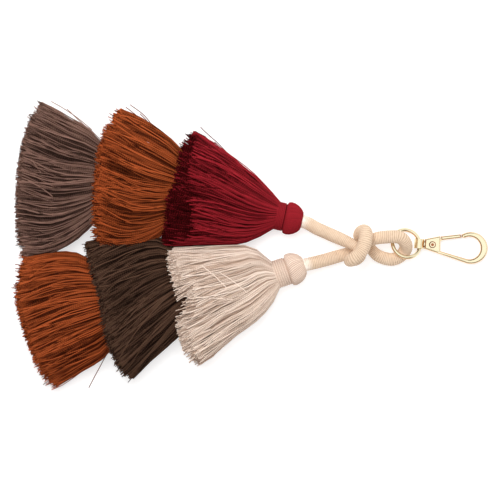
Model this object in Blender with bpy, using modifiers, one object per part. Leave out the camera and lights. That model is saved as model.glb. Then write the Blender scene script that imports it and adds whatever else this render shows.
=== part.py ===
"""Bag charm of six fringed tassels in two chains of three tiers, on one wound cord.

The charm lies on a table. The cord runs from the red tassel through a hitch, round a ring,
back through the hitch and down to the cream tassel. A snap hook hangs on the ring by a swivel.
+X points from the tassels to the hook, +Y across the charm, +Z up from the table.
"""
import math
import random
from collections import namedtuple

import bmesh
import bpy
from mathutils import Matrix, Vector

MM = 0.001
CLEARANCE = 0.3

# Head of a tassel: a domed cap over a wound neck, sizes in mm
HEAD_LENGTH = 17.5
CAP_RADIUS = 10.5
CAP_TOP_RADIUS = 4.8
GROOVE_RADIUS = 8.5
NECK_RADIUS = 9.2
NECK_LENGTH = 5.8
HEAD_SEGMENTS = 28
ROOT_SPLIT_RADIUS = 6.2
ROOT_INNER_RADIUS = 3.2
ROOT_INSET = 0.15

# Fringe: an outer row of locks, and an inner row under it
OUTER_LOCKS = 28
INNER_LOCKS = 14
LOCK_THICKNESS = 2.6
LOCK_FILL = 0.8
INNER_ROW_DEPTH = 3.0
INNER_ROW_SHORTER = 2.0
RAGGED = 1.3
ROOT_TO_TIP_SIDE_HEIGHT = 0.24
TOP_POWER = 2.7
BOTTOM_FLATNESS = 1.6
PARTING_GAP = 0.5
TWO_ROWS = 7.6

# The line on the table where the two chains lie against each other
PARTING_NEAR = (14.7, 0.6)
PARTING_FAR = (-148.5, -5.9)

# One row for each tier: distance of two sections from the neck, and the height of the fringe
Tier = namedtuple("Tier", "axis_height near near_bottom near_top middle middle_top end_top")
TIERS = {
    1: Tier(10.6, 10.0, 0.0, 26.0, 32.0, 34.4, 33.6),
    2: Tier(17.0, 18.0, 6.6, 26.0, 36.0, 34.4, 33.6),
    3: Tier(17.0, 18.0, 6.6, 25.2, 36.0, 29.0, 24.0),
}

# One row for each tassel: neck end on the table, headings in degrees, half widths of the fan
# at its three sections, and the length of the threads at the middle and at the sides
Tassel = namedtuple(
    "Tassel", "name tier x y head_heading fan_heading near_half middle_half end_half long side"
)
TASSELS = (
    Tassel("tassel_red", 1, 15.0, 18.8, -13.0, -15.6, 18.5, 27.0, 36.8, 67.5, 64.5),
    Tassel("tassel_rust_upper", 2, -33.0, 30.4, -13.5, -11.9, 25.0, 36.0, 44.0, 68.0, 61.5),
    Tassel("tassel_taupe", 3, -84.2, 35.5, -7.0, -8.6, 26.0, 38.0, 47.4, 66.0, 57.0),
    Tassel("tassel_cream", 1, 17.0, -18.7, 18.4, 19.1, 18.7, 28.5, 39.0, 66.5, 63.5),
    Tassel("tassel_dark_brown", 2, -31.4, -26.9, 9.0, 17.0, 25.0, 35.0, 45.0, 66.5, 62.0),
    Tassel("tassel_rust_lower", 3, -78.7, -33.0, 5.0, 14.4, 27.0, 39.0, 47.0, 70.0, 60.0),
)
CHAINS = (
    ("tassel_red", "tassel_rust_upper", "tassel_taupe"),
    ("tassel_cream", "tassel_dark_brown", "tassel_rust_lower"),
)
TIER_CORD_RADIUS = 1.5
TIER_CORD_POINTS = 12

# Wound cord: its route from the red head to the cream head, laid by hand, in mm
CORD_RADIUS = 4.15
CORD_POINTS = 80
Stop = namedtuple("Stop", "x y z thickness")
CORD_ROUTE = (
    Stop(33.1, 14.6, 10.6, 1.00),
    Stop(36.7, 13.1, 10.8, 1.00),
    Stop(41.0, 10.6, 11.0, 1.00),
    Stop(46.7, 8.0, 11.4, 1.00),
    Stop(52.5, 5.4, 12.0, 1.00),
    Stop(58.2, 2.9, 12.9, 0.96),
    Stop(62.7, 0.8, 13.8, 0.88),
    Stop(66.7, -1.6, 15.3, 0.80),
    Stop(69.4, -4.4, 15.6, 0.80),
    Stop(69.6, -7.5, 15.4, 0.78),
    Stop(67.4, -9.8, 15.1, 0.78),
    Stop(64.6, -10.6, 15.6, 0.80),
    Stop(62.5, -10.6, 18.1, 0.84),
    Stop(62.6, -10.2, 21.2, 0.90),
    Stop(64.9, -8.9, 23.2, 0.98),
    Stop(68.5, -5.7, 23.5, 1.04),
    Stop(71.3, -1.6, 23.4, 1.04),
    Stop(72.8, 3.2, 22.8, 1.04),
    Stop(73.1, 7.6, 20.5, 1.00),
    Stop(71.9, 10.0, 16.5, 0.92),
    Stop(69.9, 10.2, 12.0, 0.84),
    Stop(68.2, 8.8, 7.7, 0.80),
    Stop(69.1, 5.7, 4.6, 0.80),
    Stop(71.9, 3.0, 3.8, 0.80),
    Stop(74.9, 0.0, 3.8, 0.80),
    Stop(77.3, -3.7, 3.9, 0.86),
    Stop(80.6, -6.9, 4.2, 0.96),
    Stop(85.4, -8.9, 4.3, 1.00),
    Stop(90.6, -9.5, 4.25, 1.00),
    Stop(95.4, -7.4, 4.25, 1.00),
    Stop(98.1, -4.2, 5.1, 1.00),
    Stop(98.8, -0.9, 8.4, 1.00),
    Stop(97.6, 2.1, 11.8, 1.00),
    Stop(94.7, 4.5, 14.1, 1.00),
    Stop(90.6, 5.0, 14.6, 1.00),
    Stop(85.1, 4.7, 14.1, 1.00),
    Stop(80.0, 4.0, 13.1, 0.96),
    Stop(75.6, 2.5, 12.2, 0.86),
    Stop(71.8, 0.2, 10.5, 0.78),
    Stop(67.9, -2.4, 7.2, 0.80),
    Stop(64.0, -4.5, 5.6, 0.84),
    Stop(59.5, -6.3, 5.2, 0.94),
    Stop(53.8, -8.0, 5.8, 1.00),
    Stop(47.4, -9.8, 7.4, 1.00),
    Stop(40.6, -11.5, 9.2, 1.00),
    Stop(34.6, -12.9, 10.5, 1.00),
)

# Ring through the cord's loop, tilted so that the cord passes over it and then under it
RING_CENTRE = (99.0, 0.6, 6.6)
RING_RADIUS = 9.3
RING_WIRE_RADIUS = 1.2
RING_TILT = 24.0
RING_HIGH_SIDE = 225.0

# Snap hook, in its own frame: X along the hook from the swivel to the bow, Z up
HOOK_ORIGIN = (111.0, 0.3, 3.8)
HOOK_HEADING = -4.84
HOOK_DIP = 2.3
HOOK_THICKNESS = 4.2
HOOK_EDGE = 1.0
PLATE_LEFT_TOP = (0.0, 3.25)
PLATE_RIGHT_TOP = (9.6, 6.05)
PLATE_RIGHT_BOTTOM = (10.4, -3.7)
PLATE_LEFT_BOTTOM = (0.0, -3.1)
BOW_CENTRE = (29.7, 0.0)
BOW_RADIUS = 10.3
BOW_START, BOW_END = -104.0, 126.0
EYE_CENTRE = (28.9, -0.1)
EYE_RADIUS = 7.2
EYE_START, EYE_END = -102.0, 120.0
NOSE_OUTER = (23.1, 8.5)
NOSE_INNER = (23.5, 6.3)
BOW_STEPS = 22
PIVOT = (4.82, 0.0)
SLOT_LEFT = 2.5
SLOT_BOTTOM = -2.8
SLOT_HEIGHT = 2.3
RIVET_RADIUS = 1.05
RIVET_HEAD_RADIUS = 2.2
RIVET_HEAD_HEIGHT = 0.6
GATE_HUB_RADIUS = 2.3
GATE_LEVER_THICKNESS = 1.7
GATE_BAR_THICKNESS = 3.2
GATE_BAR_WIDTH = 2.2
GATE_START = (10.8, 4.65)
GATE_TIP = (22.35, 7.05)

# Swivel: an eye round the ring's wire, and a post that turns in the hook's plate
SWIVEL_EYE_X = -3.6
SWIVEL_EYE_RADIUS = 3.2
SWIVEL_HOLE_RADIUS = 2.35
SWIVEL_EYE_WIDTH = 5.0
SWIVEL_COLLAR_RADIUS = 2.5
POST_RADIUS = 1.2
POST_LENGTH = 2.0

COLLECTION = "tassel_bag_charm"

# Colour, roughness and metallic value of each material
FINISHES = {
    "red_yarn": ((0.150, 0.012, 0.020), 0.85, 0.0),
    "rust_yarn": ((0.250, 0.060, 0.016), 0.85, 0.0),
    "taupe_yarn": ((0.115, 0.068, 0.055), 0.85, 0.0),
    "cream_yarn": ((0.560, 0.430, 0.340), 0.85, 0.0),
    "dark_brown_yarn": ((0.043, 0.024, 0.016), 0.85, 0.0),
    "wound_cord": ((0.800, 0.640, 0.480), 0.80, 0.0),
    "gold_metal": ((0.900, 0.640, 0.330), 0.22, 1.0),
}
YARN_OF_TASSEL = {
    "tassel_red": "red_yarn",
    "tassel_rust_upper": "rust_yarn",
    "tassel_taupe": "taupe_yarn",
    "tassel_cream": "cream_yarn",
    "tassel_dark_brown": "dark_brown_yarn",
    "tassel_rust_lower": "rust_yarn",
}


def clear_scene():
    """Remove every object that the file opened with."""
    for item in list(bpy.data.objects):
        bpy.data.objects.remove(item, do_unlink=True)


def new_collection(name):
    """A collection linked to the scene."""
    group = bpy.data.collections.new(name)
    bpy.context.scene.collection.children.link(group)
    return group


def material(name):
    """The Principled BSDF material of one finish."""
    found = bpy.data.materials.get(name)
    if found:
        return found
    colour, roughness, metallic = FINISHES[name]
    made = bpy.data.materials.new(name)
    made.use_nodes = True
    shader = made.node_tree.nodes["Principled BSDF"]
    shader.inputs["Base Color"].default_value = (*colour, 1.0)
    shader.inputs["Roughness"].default_value = roughness
    shader.inputs["Metallic"].default_value = metallic
    return made


def add_object(name, data, finish, group):
    """An object with one material, linked to a collection."""
    made = bpy.data.objects.new(name, data)
    group.objects.link(made)
    if finish:
        data.materials.clear()
        data.materials.append(material(finish))
    return made


def evaluated_mesh(source):
    """A plain mesh of an object with its modifiers applied, and the object removed."""
    bpy.context.view_layer.update()
    graph = bpy.context.evaluated_depsgraph_get()
    mesh = bpy.data.meshes.new_from_object(source.evaluated_get(graph))
    mesh.transform(source.matrix_world)
    bpy.data.objects.remove(source, do_unlink=True)
    return mesh


def weld(mesh, distance=1e-6):
    """Merge the doubled points of a mesh and turn its faces outwards."""
    cage = bmesh.new()
    cage.from_mesh(mesh)
    bmesh.ops.remove_doubles(cage, verts=cage.verts, dist=distance)
    bmesh.ops.recalc_face_normals(cage, faces=cage.faces)
    cage.to_mesh(mesh)
    cage.free()
    return mesh


def turned(profile, segments, group):
    """A mesh turned about Z from (radius, height) points in mm that run from top to bottom."""
    outline = bpy.data.meshes.new("outline")
    points = [(radius * MM, 0.0, height * MM) for radius, height in profile]
    edges = [(i, i + 1) for i in range(len(points) - 1)]
    outline.from_pydata(points, edges, [])
    blank = add_object("blank", outline, None, group)
    screw = blank.modifiers.new("turn", "SCREW")
    screw.axis = "Z"
    screw.steps = screw.render_steps = segments
    screw.use_merge_vertices = True
    screw.merge_threshold = 1e-6
    return weld(evaluated_mesh(blank))


def flat_plate(outline, thickness, bevel, group):
    """A mesh of a flat outline in mm, centred on Z = 0, with rounded rims."""
    curve = bpy.data.curves.new("outline", "CURVE")
    curve.dimensions = "2D"
    curve.fill_mode = "BOTH"
    curve.extrude = thickness / 2 * MM
    spline = curve.splines.new("POLY")
    spline.points.add(len(outline) - 1)
    for point, (x, y) in zip(spline.points, outline):
        point.co = (x * MM, y * MM, 0.0, 1.0)
    spline.use_cyclic_u = True
    blank = add_object("blank", curve, None, group)
    mesh = weld(evaluated_mesh(blank), 1e-5)
    if not bevel:
        return mesh
    blank = add_object("blank", mesh, None, group)
    edge = blank.modifiers.new("round", "BEVEL")
    edge.width = bevel * MM
    edge.segments = 2
    edge.limit_method = "ANGLE"
    edge.angle_limit = math.radians(35)
    return weld(evaluated_mesh(blank))


def cylinder(radius, length, segments, axis="Z"):
    """A closed cylinder in mm, centred on the origin, along Z, X or Y."""
    cage = bmesh.new()
    bmesh.ops.create_cone(
        cage, cap_ends=True, segments=segments,
        radius1=radius * MM, radius2=radius * MM, depth=length * MM,
    )
    if axis == "X":
        bmesh.ops.rotate(cage, verts=cage.verts, matrix=Matrix.Rotation(math.pi / 2, 3, "Y"))
    if axis == "Y":
        bmesh.ops.rotate(cage, verts=cage.verts, matrix=Matrix.Rotation(math.pi / 2, 3, "X"))
    mesh = bpy.data.meshes.new("cylinder")
    cage.to_mesh(mesh)
    cage.free()
    return mesh


def box(low, high):
    """A closed box between two corners in mm."""
    cage = bmesh.new()
    bmesh.ops.create_cube(cage, size=1.0)
    size = Vector(high) - Vector(low)
    middle = (Vector(high) + Vector(low)) / 2
    bmesh.ops.scale(cage, verts=cage.verts, vec=size * MM)
    bmesh.ops.translate(cage, verts=cage.verts, vec=middle * MM)
    mesh = bpy.data.meshes.new("box")
    cage.to_mesh(mesh)
    cage.free()
    return mesh


def combine(target, tools, operation, tool_group):
    """Join or cut a mesh by others with exact Booleans, and give the finished mesh."""
    body = add_object("body", target, None, tool_group)
    for number, tool in enumerate(tools):
        cutter = add_object(f"cutter_{number}", tool, None, tool_group)
        cutter.hide_render = True
        cutter.display_type = "WIRE"
        step = body.modifiers.new("combine", "BOOLEAN")
        step.operation = operation
        step.solver = "EXACT"
        step.object = cutter
    mesh = evaluated_mesh(body)
    for cutter in [item for item in tool_group.objects if item.name.startswith("cutter_")]:
        bpy.data.objects.remove(cutter, do_unlink=True)
    return weld(mesh)


def smooth_path(stops, count):
    """Points at even steps along a smooth curve through the stops, with their thickness."""
    rows = [Vector((s.x, s.y, s.z, s.thickness)) for s in stops]
    rows = [2 * rows[0] - rows[1]] + rows + [2 * rows[-1] - rows[-2]]
    fine = []
    parts = 12
    for a, b, c, d in zip(rows, rows[1:], rows[2:], rows[3:]):
        for step in range(parts):
            t = step / parts
            fine.append(
                0.5 * (2 * b + (c - a) * t + (2 * a - 5 * b + 4 * c - d) * t * t
                       + (3 * b - a - 3 * c + d) * t ** 3)
            )
    fine.append(rows[-2])
    reach = [0.0]
    for p, q in zip(fine, fine[1:]):
        reach.append(reach[-1] + (q.xyz - p.xyz).length)
    points = []
    at = 0
    for number in range(count):
        wanted = reach[-1] * number / (count - 1)
        while at < len(reach) - 2 and reach[at + 1] < wanted:
            at += 1
        share = (wanted - reach[at]) / (reach[at + 1] - reach[at])
        points.append(fine[at].lerp(fine[at + 1], min(1.0, share)))
    return points


def tube(name, points, radius, resolution, finish, group):
    """A round tube along points in mm, as a curve with a bevel and filled ends."""
    curve = bpy.data.curves.new(name, "CURVE")
    curve.dimensions = "3D"
    curve.bevel_depth = radius * MM
    curve.bevel_resolution = resolution
    curve.use_fill_caps = True
    spline = curve.splines.new("POLY")
    spline.points.add(len(points) - 1)
    for knot, point in zip(spline.points, points):
        knot.co = (point[0] * MM, point[1] * MM, point[2] * MM, 1.0)
        knot.radius = point[3]
    return add_object(name, curve, finish, group)


def head_profile():
    """The head's outline from the pole of its cap down to the root face under its neck."""
    top = HEAD_LENGTH
    neck_top = NECK_LENGTH
    return (
        (0.0, top),
        (CAP_TOP_RADIUS, top),
        (CAP_RADIUS * 0.80, top - 2.0),
        (CAP_RADIUS, top - 5.8),
        (CAP_RADIUS * 0.95, top - 9.3),
        (GROOVE_RADIUS, neck_top + 0.6),
        (NECK_RADIUS, neck_top - 0.4),
        (NECK_RADIUS, 0.0),
        (ROOT_SPLIT_RADIUS, 0.0),
        (ROOT_INNER_RADIUS, 0.0),
        (0.0, 0.0),
    )


def section_curve(half_left, half_right, bottom, top):
    """Points round one section of a fringe that lies flat below and domes above."""
    side = bottom + ROOT_TO_TIP_SIDE_HEIGHT * (top - bottom)
    power = 2.0 / TOP_POWER
    points = []
    steps = 240
    for number in range(steps + 1):
        angle = -math.pi / 2 + 2 * math.pi * number / steps
        across, up = math.cos(angle), math.sin(angle)
        half = half_left if across > 0 else half_right
        y = half * math.copysign(abs(across) ** power, across)
        if up > 0:
            z = side + (top - side) * up ** power
        else:
            z = side - (side - bottom) * min(1.0, BOTTOM_FLATNESS * -up)
        points.append(Vector((y, z)))
    return points


def spread(points, count, shift):
    """Evenly spaced places round a closed section: (place, direction, outward, pitch)."""
    reach = [0.0]
    for p, q in zip(points, points[1:]):
        reach.append(reach[-1] + (q - p).length)
    places = []
    for number in range(count):
        wanted = reach[-1] * ((number + shift) / count % 1.0)
        at = next(i for i in range(len(reach) - 1) if reach[i + 1] >= wanted)
        share = (wanted - reach[at]) / max(1e-9, reach[at + 1] - reach[at])
        place = points[at].lerp(points[at + 1], share)
        along = (points[(at + 4) % (len(points) - 1)] - points[(at - 3) % (len(points) - 1)])
        along.normalize()
        places.append((place, along, Vector((along.y, -along.x)), reach[-1] / count))
    return places


def parting_height(x):
    """Where the line between the two chains lies across the charm, at a place along it."""
    (x0, y0), (x1, y1) = PARTING_NEAR, PARTING_FAR
    return y0 + (y1 - y0) * (x - x0) / (x1 - x0)


def fan_frame(row):
    """Place of the neck's end, and the fan's own directions: away from the head and to its left."""
    turn = math.radians(row.fan_heading)
    away = Vector((-math.cos(turn), -math.sin(turn)))
    left = Vector((math.sin(turn), -math.cos(turn)))
    return Vector((row.x, row.y)), away, left


def half_widths(row, distance, half, within):
    """The fan's half widths to its left and right, kept off the other chain's side.

    A section that lies within an outer fringe stays off that fringe's two rows as well.
    """
    neck, away, left = fan_frame(row)
    centre = neck + away * distance
    room = abs(centre.y - parting_height(centre.x)) * abs(left.y) - PARTING_GAP
    if within:
        room -= TWO_ROWS
    upper_chain = row.y > 0
    inner = min(half, room)
    return (inner, half) if upper_chain else (half, inner)


def fringe_sections(row, depth):
    """The three sections of one row of locks: (distance, points)."""
    tier = TIERS[row.tier]
    stations = (
        (tier.near, row.near_half, tier.near_bottom, tier.near_top),
        (tier.middle, row.middle_half, 0.0, tier.middle_top),
        (row.side, row.end_half, 0.0, tier.end_top),
    )
    sections = []
    for distance, half, bottom, top in stations:
        within = row.tier > 1 and distance == tier.near
        lefthand, righthand = half_widths(row, distance, half, within)
        inside = depth + LOCK_THICKNESS / 2
        sections.append(
            (distance, section_curve(lefthand - inside, righthand - inside,
                                     bottom + inside, top - inside))
        )
    return sections


def grow_locks(cage, faces, row, count, shift, depth, rng):
    """Draw each root face out through the fringe's sections into one lock."""
    corner_side = cage.verts.layers.float.get("side")
    corner_out = cage.verts.layers.float.get("out")
    number_of = cage.faces.layers.int.get("lock")
    neck, away, left = fan_frame(row)
    lengths = [rng.uniform(-RAGGED, RAGGED) for _ in range(count)]
    sections = fringe_sections(row, depth)
    shorter = INNER_ROW_SHORTER if depth else 0.0
    for step, (distance, points) in enumerate(sections):
        places = spread(points, count, shift)
        widest = max(abs(p.x) for p in points)
        faces = bmesh.ops.extrude_discrete_faces(cage, faces=faces)["faces"]
        for face in faces:
            lock = face[number_of]
            place, along, outward, pitch = places[lock]
            reach = distance
            if step == len(sections) - 1:
                share = abs(place.x) / widest
                reach = row.long + (row.side - row.long) * share ** 2 + lengths[lock] - shorter
            base = neck + away * reach
            width = min(pitch, 7.0) * LOCK_FILL
            for corner in face.verts:
                sideways = corner[corner_side] * width / 2
                out = corner[corner_out] * LOCK_THICKNESS / 2
                y = place.x + along.x * sideways + outward.x * out
                z = max(0.0, place.y + along.y * sideways + outward.y * out)
                spot = base + left * y
                corner.co = Vector((spot.x, spot.y, z)) * MM


def turn_round_axis(local):
    """The angle of a place round a head's own axis, from straight below it."""
    return (math.atan2(local.z, -local.y) + math.pi / 2) % (2 * math.pi)


def mark_roots(cage, faces, back, count):
    """Number the root faces round the neck, and name each corner by its side."""
    corner_side = cage.verts.layers.float.get("side")
    corner_out = cage.verts.layers.float.get("out")
    number_of = cage.faces.layers.int.get("lock")
    for face in faces:
        middle = back @ face.calc_center_median()
        angle = turn_round_axis(middle)
        face[number_of] = round(angle / (2 * math.pi) * count) % count
        for corner in face.verts:
            local = back @ corner.co
            gap = (turn_round_axis(local) - angle + math.pi) % (2 * math.pi) - math.pi
            corner[corner_side] = math.copysign(1.0, gap)
            corner[corner_out] = math.copysign(1.0, local.yz.length - middle.yz.length)


def build_tassel(row, group, rng):
    """One tassel: its wound head, with two rows of locks grown from the root face."""
    turn = Matrix.Rotation(math.pi / HEAD_SEGMENTS, 4, "Z")
    mesh = turned(head_profile(), HEAD_SEGMENTS, group)
    mesh.transform(turn)
    mesh.transform(Matrix.Rotation(math.pi / 2, 4, "Y"))
    frame = (
        Matrix.Translation(Vector((row.x, row.y, TIERS[row.tier].axis_height)) * MM)
        @ Matrix.Rotation(math.radians(row.head_heading), 4, "Z")
    )
    mesh.transform(frame)
    cage = bmesh.new()
    cage.from_mesh(mesh)
    cage.verts.layers.float.new("side")
    cage.verts.layers.float.new("out")
    cage.faces.layers.int.new("lock")
    back = frame.inverted()
    outer, inner = [], []
    for face in cage.faces:
        spot = back @ face.calc_center_median()
        far = spot.yz.length / MM
        if abs(spot.x) > 1e-6:
            continue
        if ROOT_SPLIT_RADIUS < far < NECK_RADIUS:
            outer.append(face)
        elif ROOT_INNER_RADIUS < far < ROOT_SPLIT_RADIUS:
            cell = round(turn_round_axis(spot) / (2 * math.pi) * HEAD_SEGMENTS)
            if cell % 2 == 0:
                inner.append(face)
    bmesh.ops.inset_individual(cage, faces=outer + inner, thickness=ROOT_INSET * MM)
    mark_roots(cage, outer, back, OUTER_LOCKS)
    mark_roots(cage, inner, back, INNER_LOCKS)
    grow_locks(cage, outer, row, OUTER_LOCKS, 0.0, 0.0, rng)
    grow_locks(cage, inner, row, INNER_LOCKS, 0.25, INNER_ROW_DEPTH, rng)
    bmesh.ops.recalc_face_normals(cage, faces=cage.faces)
    cage.transform(back)
    cage.to_mesh(mesh)
    cage.free()
    mesh.name = row.name
    made = add_object(row.name, mesh, YARN_OF_TASSEL[row.name], group)
    made.matrix_world = frame
    return made


def pole_of(row):
    """The middle of a cap's top, where its cord enters."""
    turn = math.radians(row.head_heading)
    return Vector((
        row.x + HEAD_LENGTH * math.cos(turn),
        row.y + HEAD_LENGTH * math.sin(turn),
        TIERS[row.tier].axis_height,
    ))


def build_tier_cord(name, upper, lower, group):
    """The short cord that carries an inner tassel from the head above it."""
    start_turn = math.radians(upper.head_heading)
    end_turn = math.radians(lower.head_heading)
    start_way = -Vector((math.cos(start_turn), math.sin(start_turn), 0.0))
    end_way = -Vector((math.cos(end_turn), math.sin(end_turn), 0.0))
    start = Vector((upper.x, upper.y, TIERS[upper.tier].axis_height)) + start_way * CLEARANCE
    end = pole_of(lower) - end_way * CLEARANCE
    pull = (end - start).length
    points = []
    for number in range(TIER_CORD_POINTS):
        t = number / (TIER_CORD_POINTS - 1)
        rise = t * t * (3 - 2 * t)
        bend = (t ** 3 - 2 * t ** 2 + t) * pull
        settle = (t ** 3 - t ** 2) * pull
        spot = start + (end - start) * rise + start_way * bend + end_way * settle
        points.append((*spot, 1.0))
    return tube(name, points, TIER_CORD_RADIUS, 2, "wound_cord", group)


def build_ring(group):
    """The round ring, tilted across the cord's loop."""
    bpy.ops.mesh.primitive_torus_add(
        major_radius=RING_RADIUS * MM, minor_radius=RING_WIRE_RADIUS * MM,
        major_segments=36, minor_segments=10,
    )
    made = bpy.context.object
    for owner in list(made.users_collection):
        owner.objects.unlink(made)
    group.objects.link(made)
    made.name = made.data.name = "ring"
    made.data.materials.append(material("gold_metal"))
    high = math.radians(RING_HIGH_SIDE)
    hinge = Vector((math.sin(high), -math.cos(high), 0.0))
    made.matrix_world = (
        Matrix.Translation(Vector(RING_CENTRE) * MM)
        @ Matrix.Rotation(math.radians(RING_TILT), 4, hinge)
    )
    return made


def arc(centre, radius, start, end, steps):
    """Points along an arc, angles in degrees."""
    points = []
    for number in range(steps + 1):
        angle = math.radians(start + (end - start) * number / steps)
        points.append((centre[0] + radius * math.cos(angle), centre[1] + radius * math.sin(angle)))
    return points


def hook_frame_outline():
    """The hook's outline: the plate, the lower bar and the bow up to its nose."""
    outer = arc(BOW_CENTRE, BOW_RADIUS, BOW_START, BOW_END, BOW_STEPS)
    inner = arc(EYE_CENTRE, EYE_RADIUS, EYE_START, EYE_END, BOW_STEPS)
    return (
        [PLATE_LEFT_TOP, PLATE_LEFT_BOTTOM] + outer + [NOSE_OUTER, NOSE_INNER]
        + inner[::-1] + [PLATE_RIGHT_BOTTOM, PLATE_RIGHT_TOP]
    )


def hook_matrix():
    """The hook's frame: it leaves the swivel at ring height and dips until its bow rests."""
    return (
        Matrix.Translation(Vector(HOOK_ORIGIN) * MM)
        @ Matrix.Rotation(math.radians(HOOK_HEADING), 4, "Z")
        @ Matrix.Rotation(math.radians(HOOK_DIP), 4, "Y")
    )


def build_hook_frame(tools):
    """Plate, lower bar and bow in one casting, slotted for the gate and bored for the post."""
    blank = flat_plate(hook_frame_outline(), HOOK_THICKNESS, HOOK_EDGE, tools)
    slot = box((SLOT_LEFT, SLOT_BOTTOM, -SLOT_HEIGHT / 2), (12.0, 8.0, SLOT_HEIGHT / 2))
    rivet_bore = cylinder(RIVET_RADIUS + CLEARANCE, HOOK_THICKNESS * 2, 16)
    rivet_bore.transform(Matrix.Translation(Vector((*PIVOT, 0.0)) * MM))
    post_bore = cylinder(POST_RADIUS + CLEARANCE, 2 * (POST_LENGTH + CLEARANCE), 16, "X")
    return combine(blank, [slot, rivet_bore, post_bore], "DIFFERENCE", tools)


def build_gate(tools):
    """The gate: a hub on the rivet, a lever in the slot and a thicker bar out to the nose."""
    pivot, start, tip = Vector(PIVOT), Vector(GATE_START), Vector(GATE_TIP)
    run = (tip - start).normalized()
    side = Vector((-run.y, run.x)) * GATE_BAR_WIDTH / 2
    reach = (start - pivot).normalized()
    arm = Vector((-reach.y, reach.x)) * GATE_BAR_WIDTH * 0.45
    hub = cylinder(GATE_HUB_RADIUS, GATE_LEVER_THICKNESS, 24)
    hub.transform(Matrix.Translation(Vector((*PIVOT, 0.0)) * MM))
    lever = flat_plate(
        [tuple(p) for p in (pivot - arm, start + run * 1.5 - side * 0.8,
                            start + run * 1.5 + side * 0.8, pivot + arm)],
        GATE_LEVER_THICKNESS, 0.0, tools,
    )
    bar = flat_plate(
        [tuple(p) for p in (start - side, tip - side, tip + side - run * 0.35, start + side)],
        GATE_BAR_THICKNESS, 0.6, tools,
    )
    joined = combine(hub, [lever, bar], "UNION", tools)
    bore = cylinder(RIVET_RADIUS + CLEARANCE, HOOK_THICKNESS, 16)
    bore.transform(Matrix.Translation(Vector((*PIVOT, 0.0)) * MM))
    return combine(joined, [bore], "DIFFERENCE", tools)


def rivet_profile():
    """The rivet: a shaft with a low head above and below the plate."""
    under = HOOK_THICKNESS / 2 + CLEARANCE
    top = under + RIVET_HEAD_HEIGHT
    upper = [(0.0, top), (RIVET_HEAD_RADIUS * 0.75, top), (RIVET_HEAD_RADIUS, top - 0.3),
             (RIVET_HEAD_RADIUS, under), (RIVET_RADIUS, under)]
    return upper + [(radius, -height) for radius, height in reversed(upper)]


def build_swivel(tools):
    """The swivel: an eye round the ring's wire, a collar, and the post in the hook's plate."""
    half = SWIVEL_EYE_WIDTH / 2
    edge = 0.5
    eye = turned(
        [(SWIVEL_HOLE_RADIUS, half), (SWIVEL_EYE_RADIUS - edge, half),
         (SWIVEL_EYE_RADIUS, half - edge), (SWIVEL_EYE_RADIUS, edge - half),
         (SWIVEL_EYE_RADIUS - edge, -half), (SWIVEL_HOLE_RADIUS, -half),
         (SWIVEL_HOLE_RADIUS, half)],
        24, tools,
    )
    eye.transform(Matrix.Rotation(math.pi / 2, 4, "X"))
    eye.transform(Matrix.Translation(Vector((SWIVEL_EYE_X, 0.0, 0.0)) * MM))
    collar_start = SWIVEL_EYE_X + SWIVEL_HOLE_RADIUS + 0.5
    collar_length = -CLEARANCE - collar_start
    collar = cylinder(SWIVEL_COLLAR_RADIUS, collar_length, 20, "X")
    collar.transform(Matrix.Translation(Vector((collar_start + collar_length / 2, 0, 0)) * MM))
    post_start = collar_start + 0.1
    post_length = POST_LENGTH - post_start
    post = cylinder(POST_RADIUS, post_length, 16, "X")
    post.transform(Matrix.Translation(Vector((post_start + post_length / 2, 0, 0)) * MM))
    return combine(eye, [collar, post], "UNION", tools)


def build_hardware(group, tools):
    """Ring, swivel, hook frame, rivet and gate; the gate's origin is on the rivet's axis."""
    build_ring(group)
    place = hook_matrix()
    swivel = add_object("swivel", build_swivel(tools), "gold_metal", group)
    swivel.matrix_world = place
    hook = add_object("hook_frame", build_hook_frame(tools), "gold_metal", group)
    hook.matrix_world = place
    pivot = Matrix.Translation(Vector((*PIVOT, 0.0)) * MM)
    rivet = add_object("rivet", turned(rivet_profile(), 20, tools), "gold_metal", group)
    rivet.matrix_world = place @ pivot
    mesh = build_gate(tools)
    mesh.transform(pivot.inverted())
    gate = add_object("gate", mesh, "gold_metal", group)
    gate.matrix_world = place @ pivot
    for item in (swivel, hook, rivet, gate):
        item.data.name = item.name


def smooth_round_pieces(group):
    """Shade each mesh smooth, with its hard edges kept."""
    for item in group.objects:
        if item.type == "MESH":
            item.data.shade_smooth()
            item.data.set_sharp_from_angle(angle=math.radians(40))


def main():
    """Build the whole charm."""
    clear_scene()
    group = new_collection(COLLECTION)
    tools = new_collection("tools")
    rng = random.Random(7)
    rows = {row.name: row for row in TASSELS}
    for row in TASSELS:
        build_tassel(row, group, rng)
    for chain, names in zip(("upper", "lower"), CHAINS):
        for number, (above, below) in enumerate(zip(names, names[1:]), start=1):
            build_tier_cord(f"tier_cord_{chain}_{number}", rows[above], rows[below], group)
    path = smooth_path(CORD_ROUTE, CORD_POINTS)
    tube("wound_cord", path, CORD_RADIUS, 3, "wound_cord", group)
    build_hardware(group, tools)
    smooth_round_pieces(group)


main()
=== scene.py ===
"""Looks of a tassel bag charm: fringed tassels, wound cord, ring and swivel snap hook."""
from __future__ import annotations

import logging
import math
from dataclasses import dataclass, field
from enum import Enum
import bmesh  # noqa: E402
import bpy  # noqa: E402
import numpy as np  # noqa: E402
from mathutils import Matrix, Vector  # noqa: E402


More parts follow.
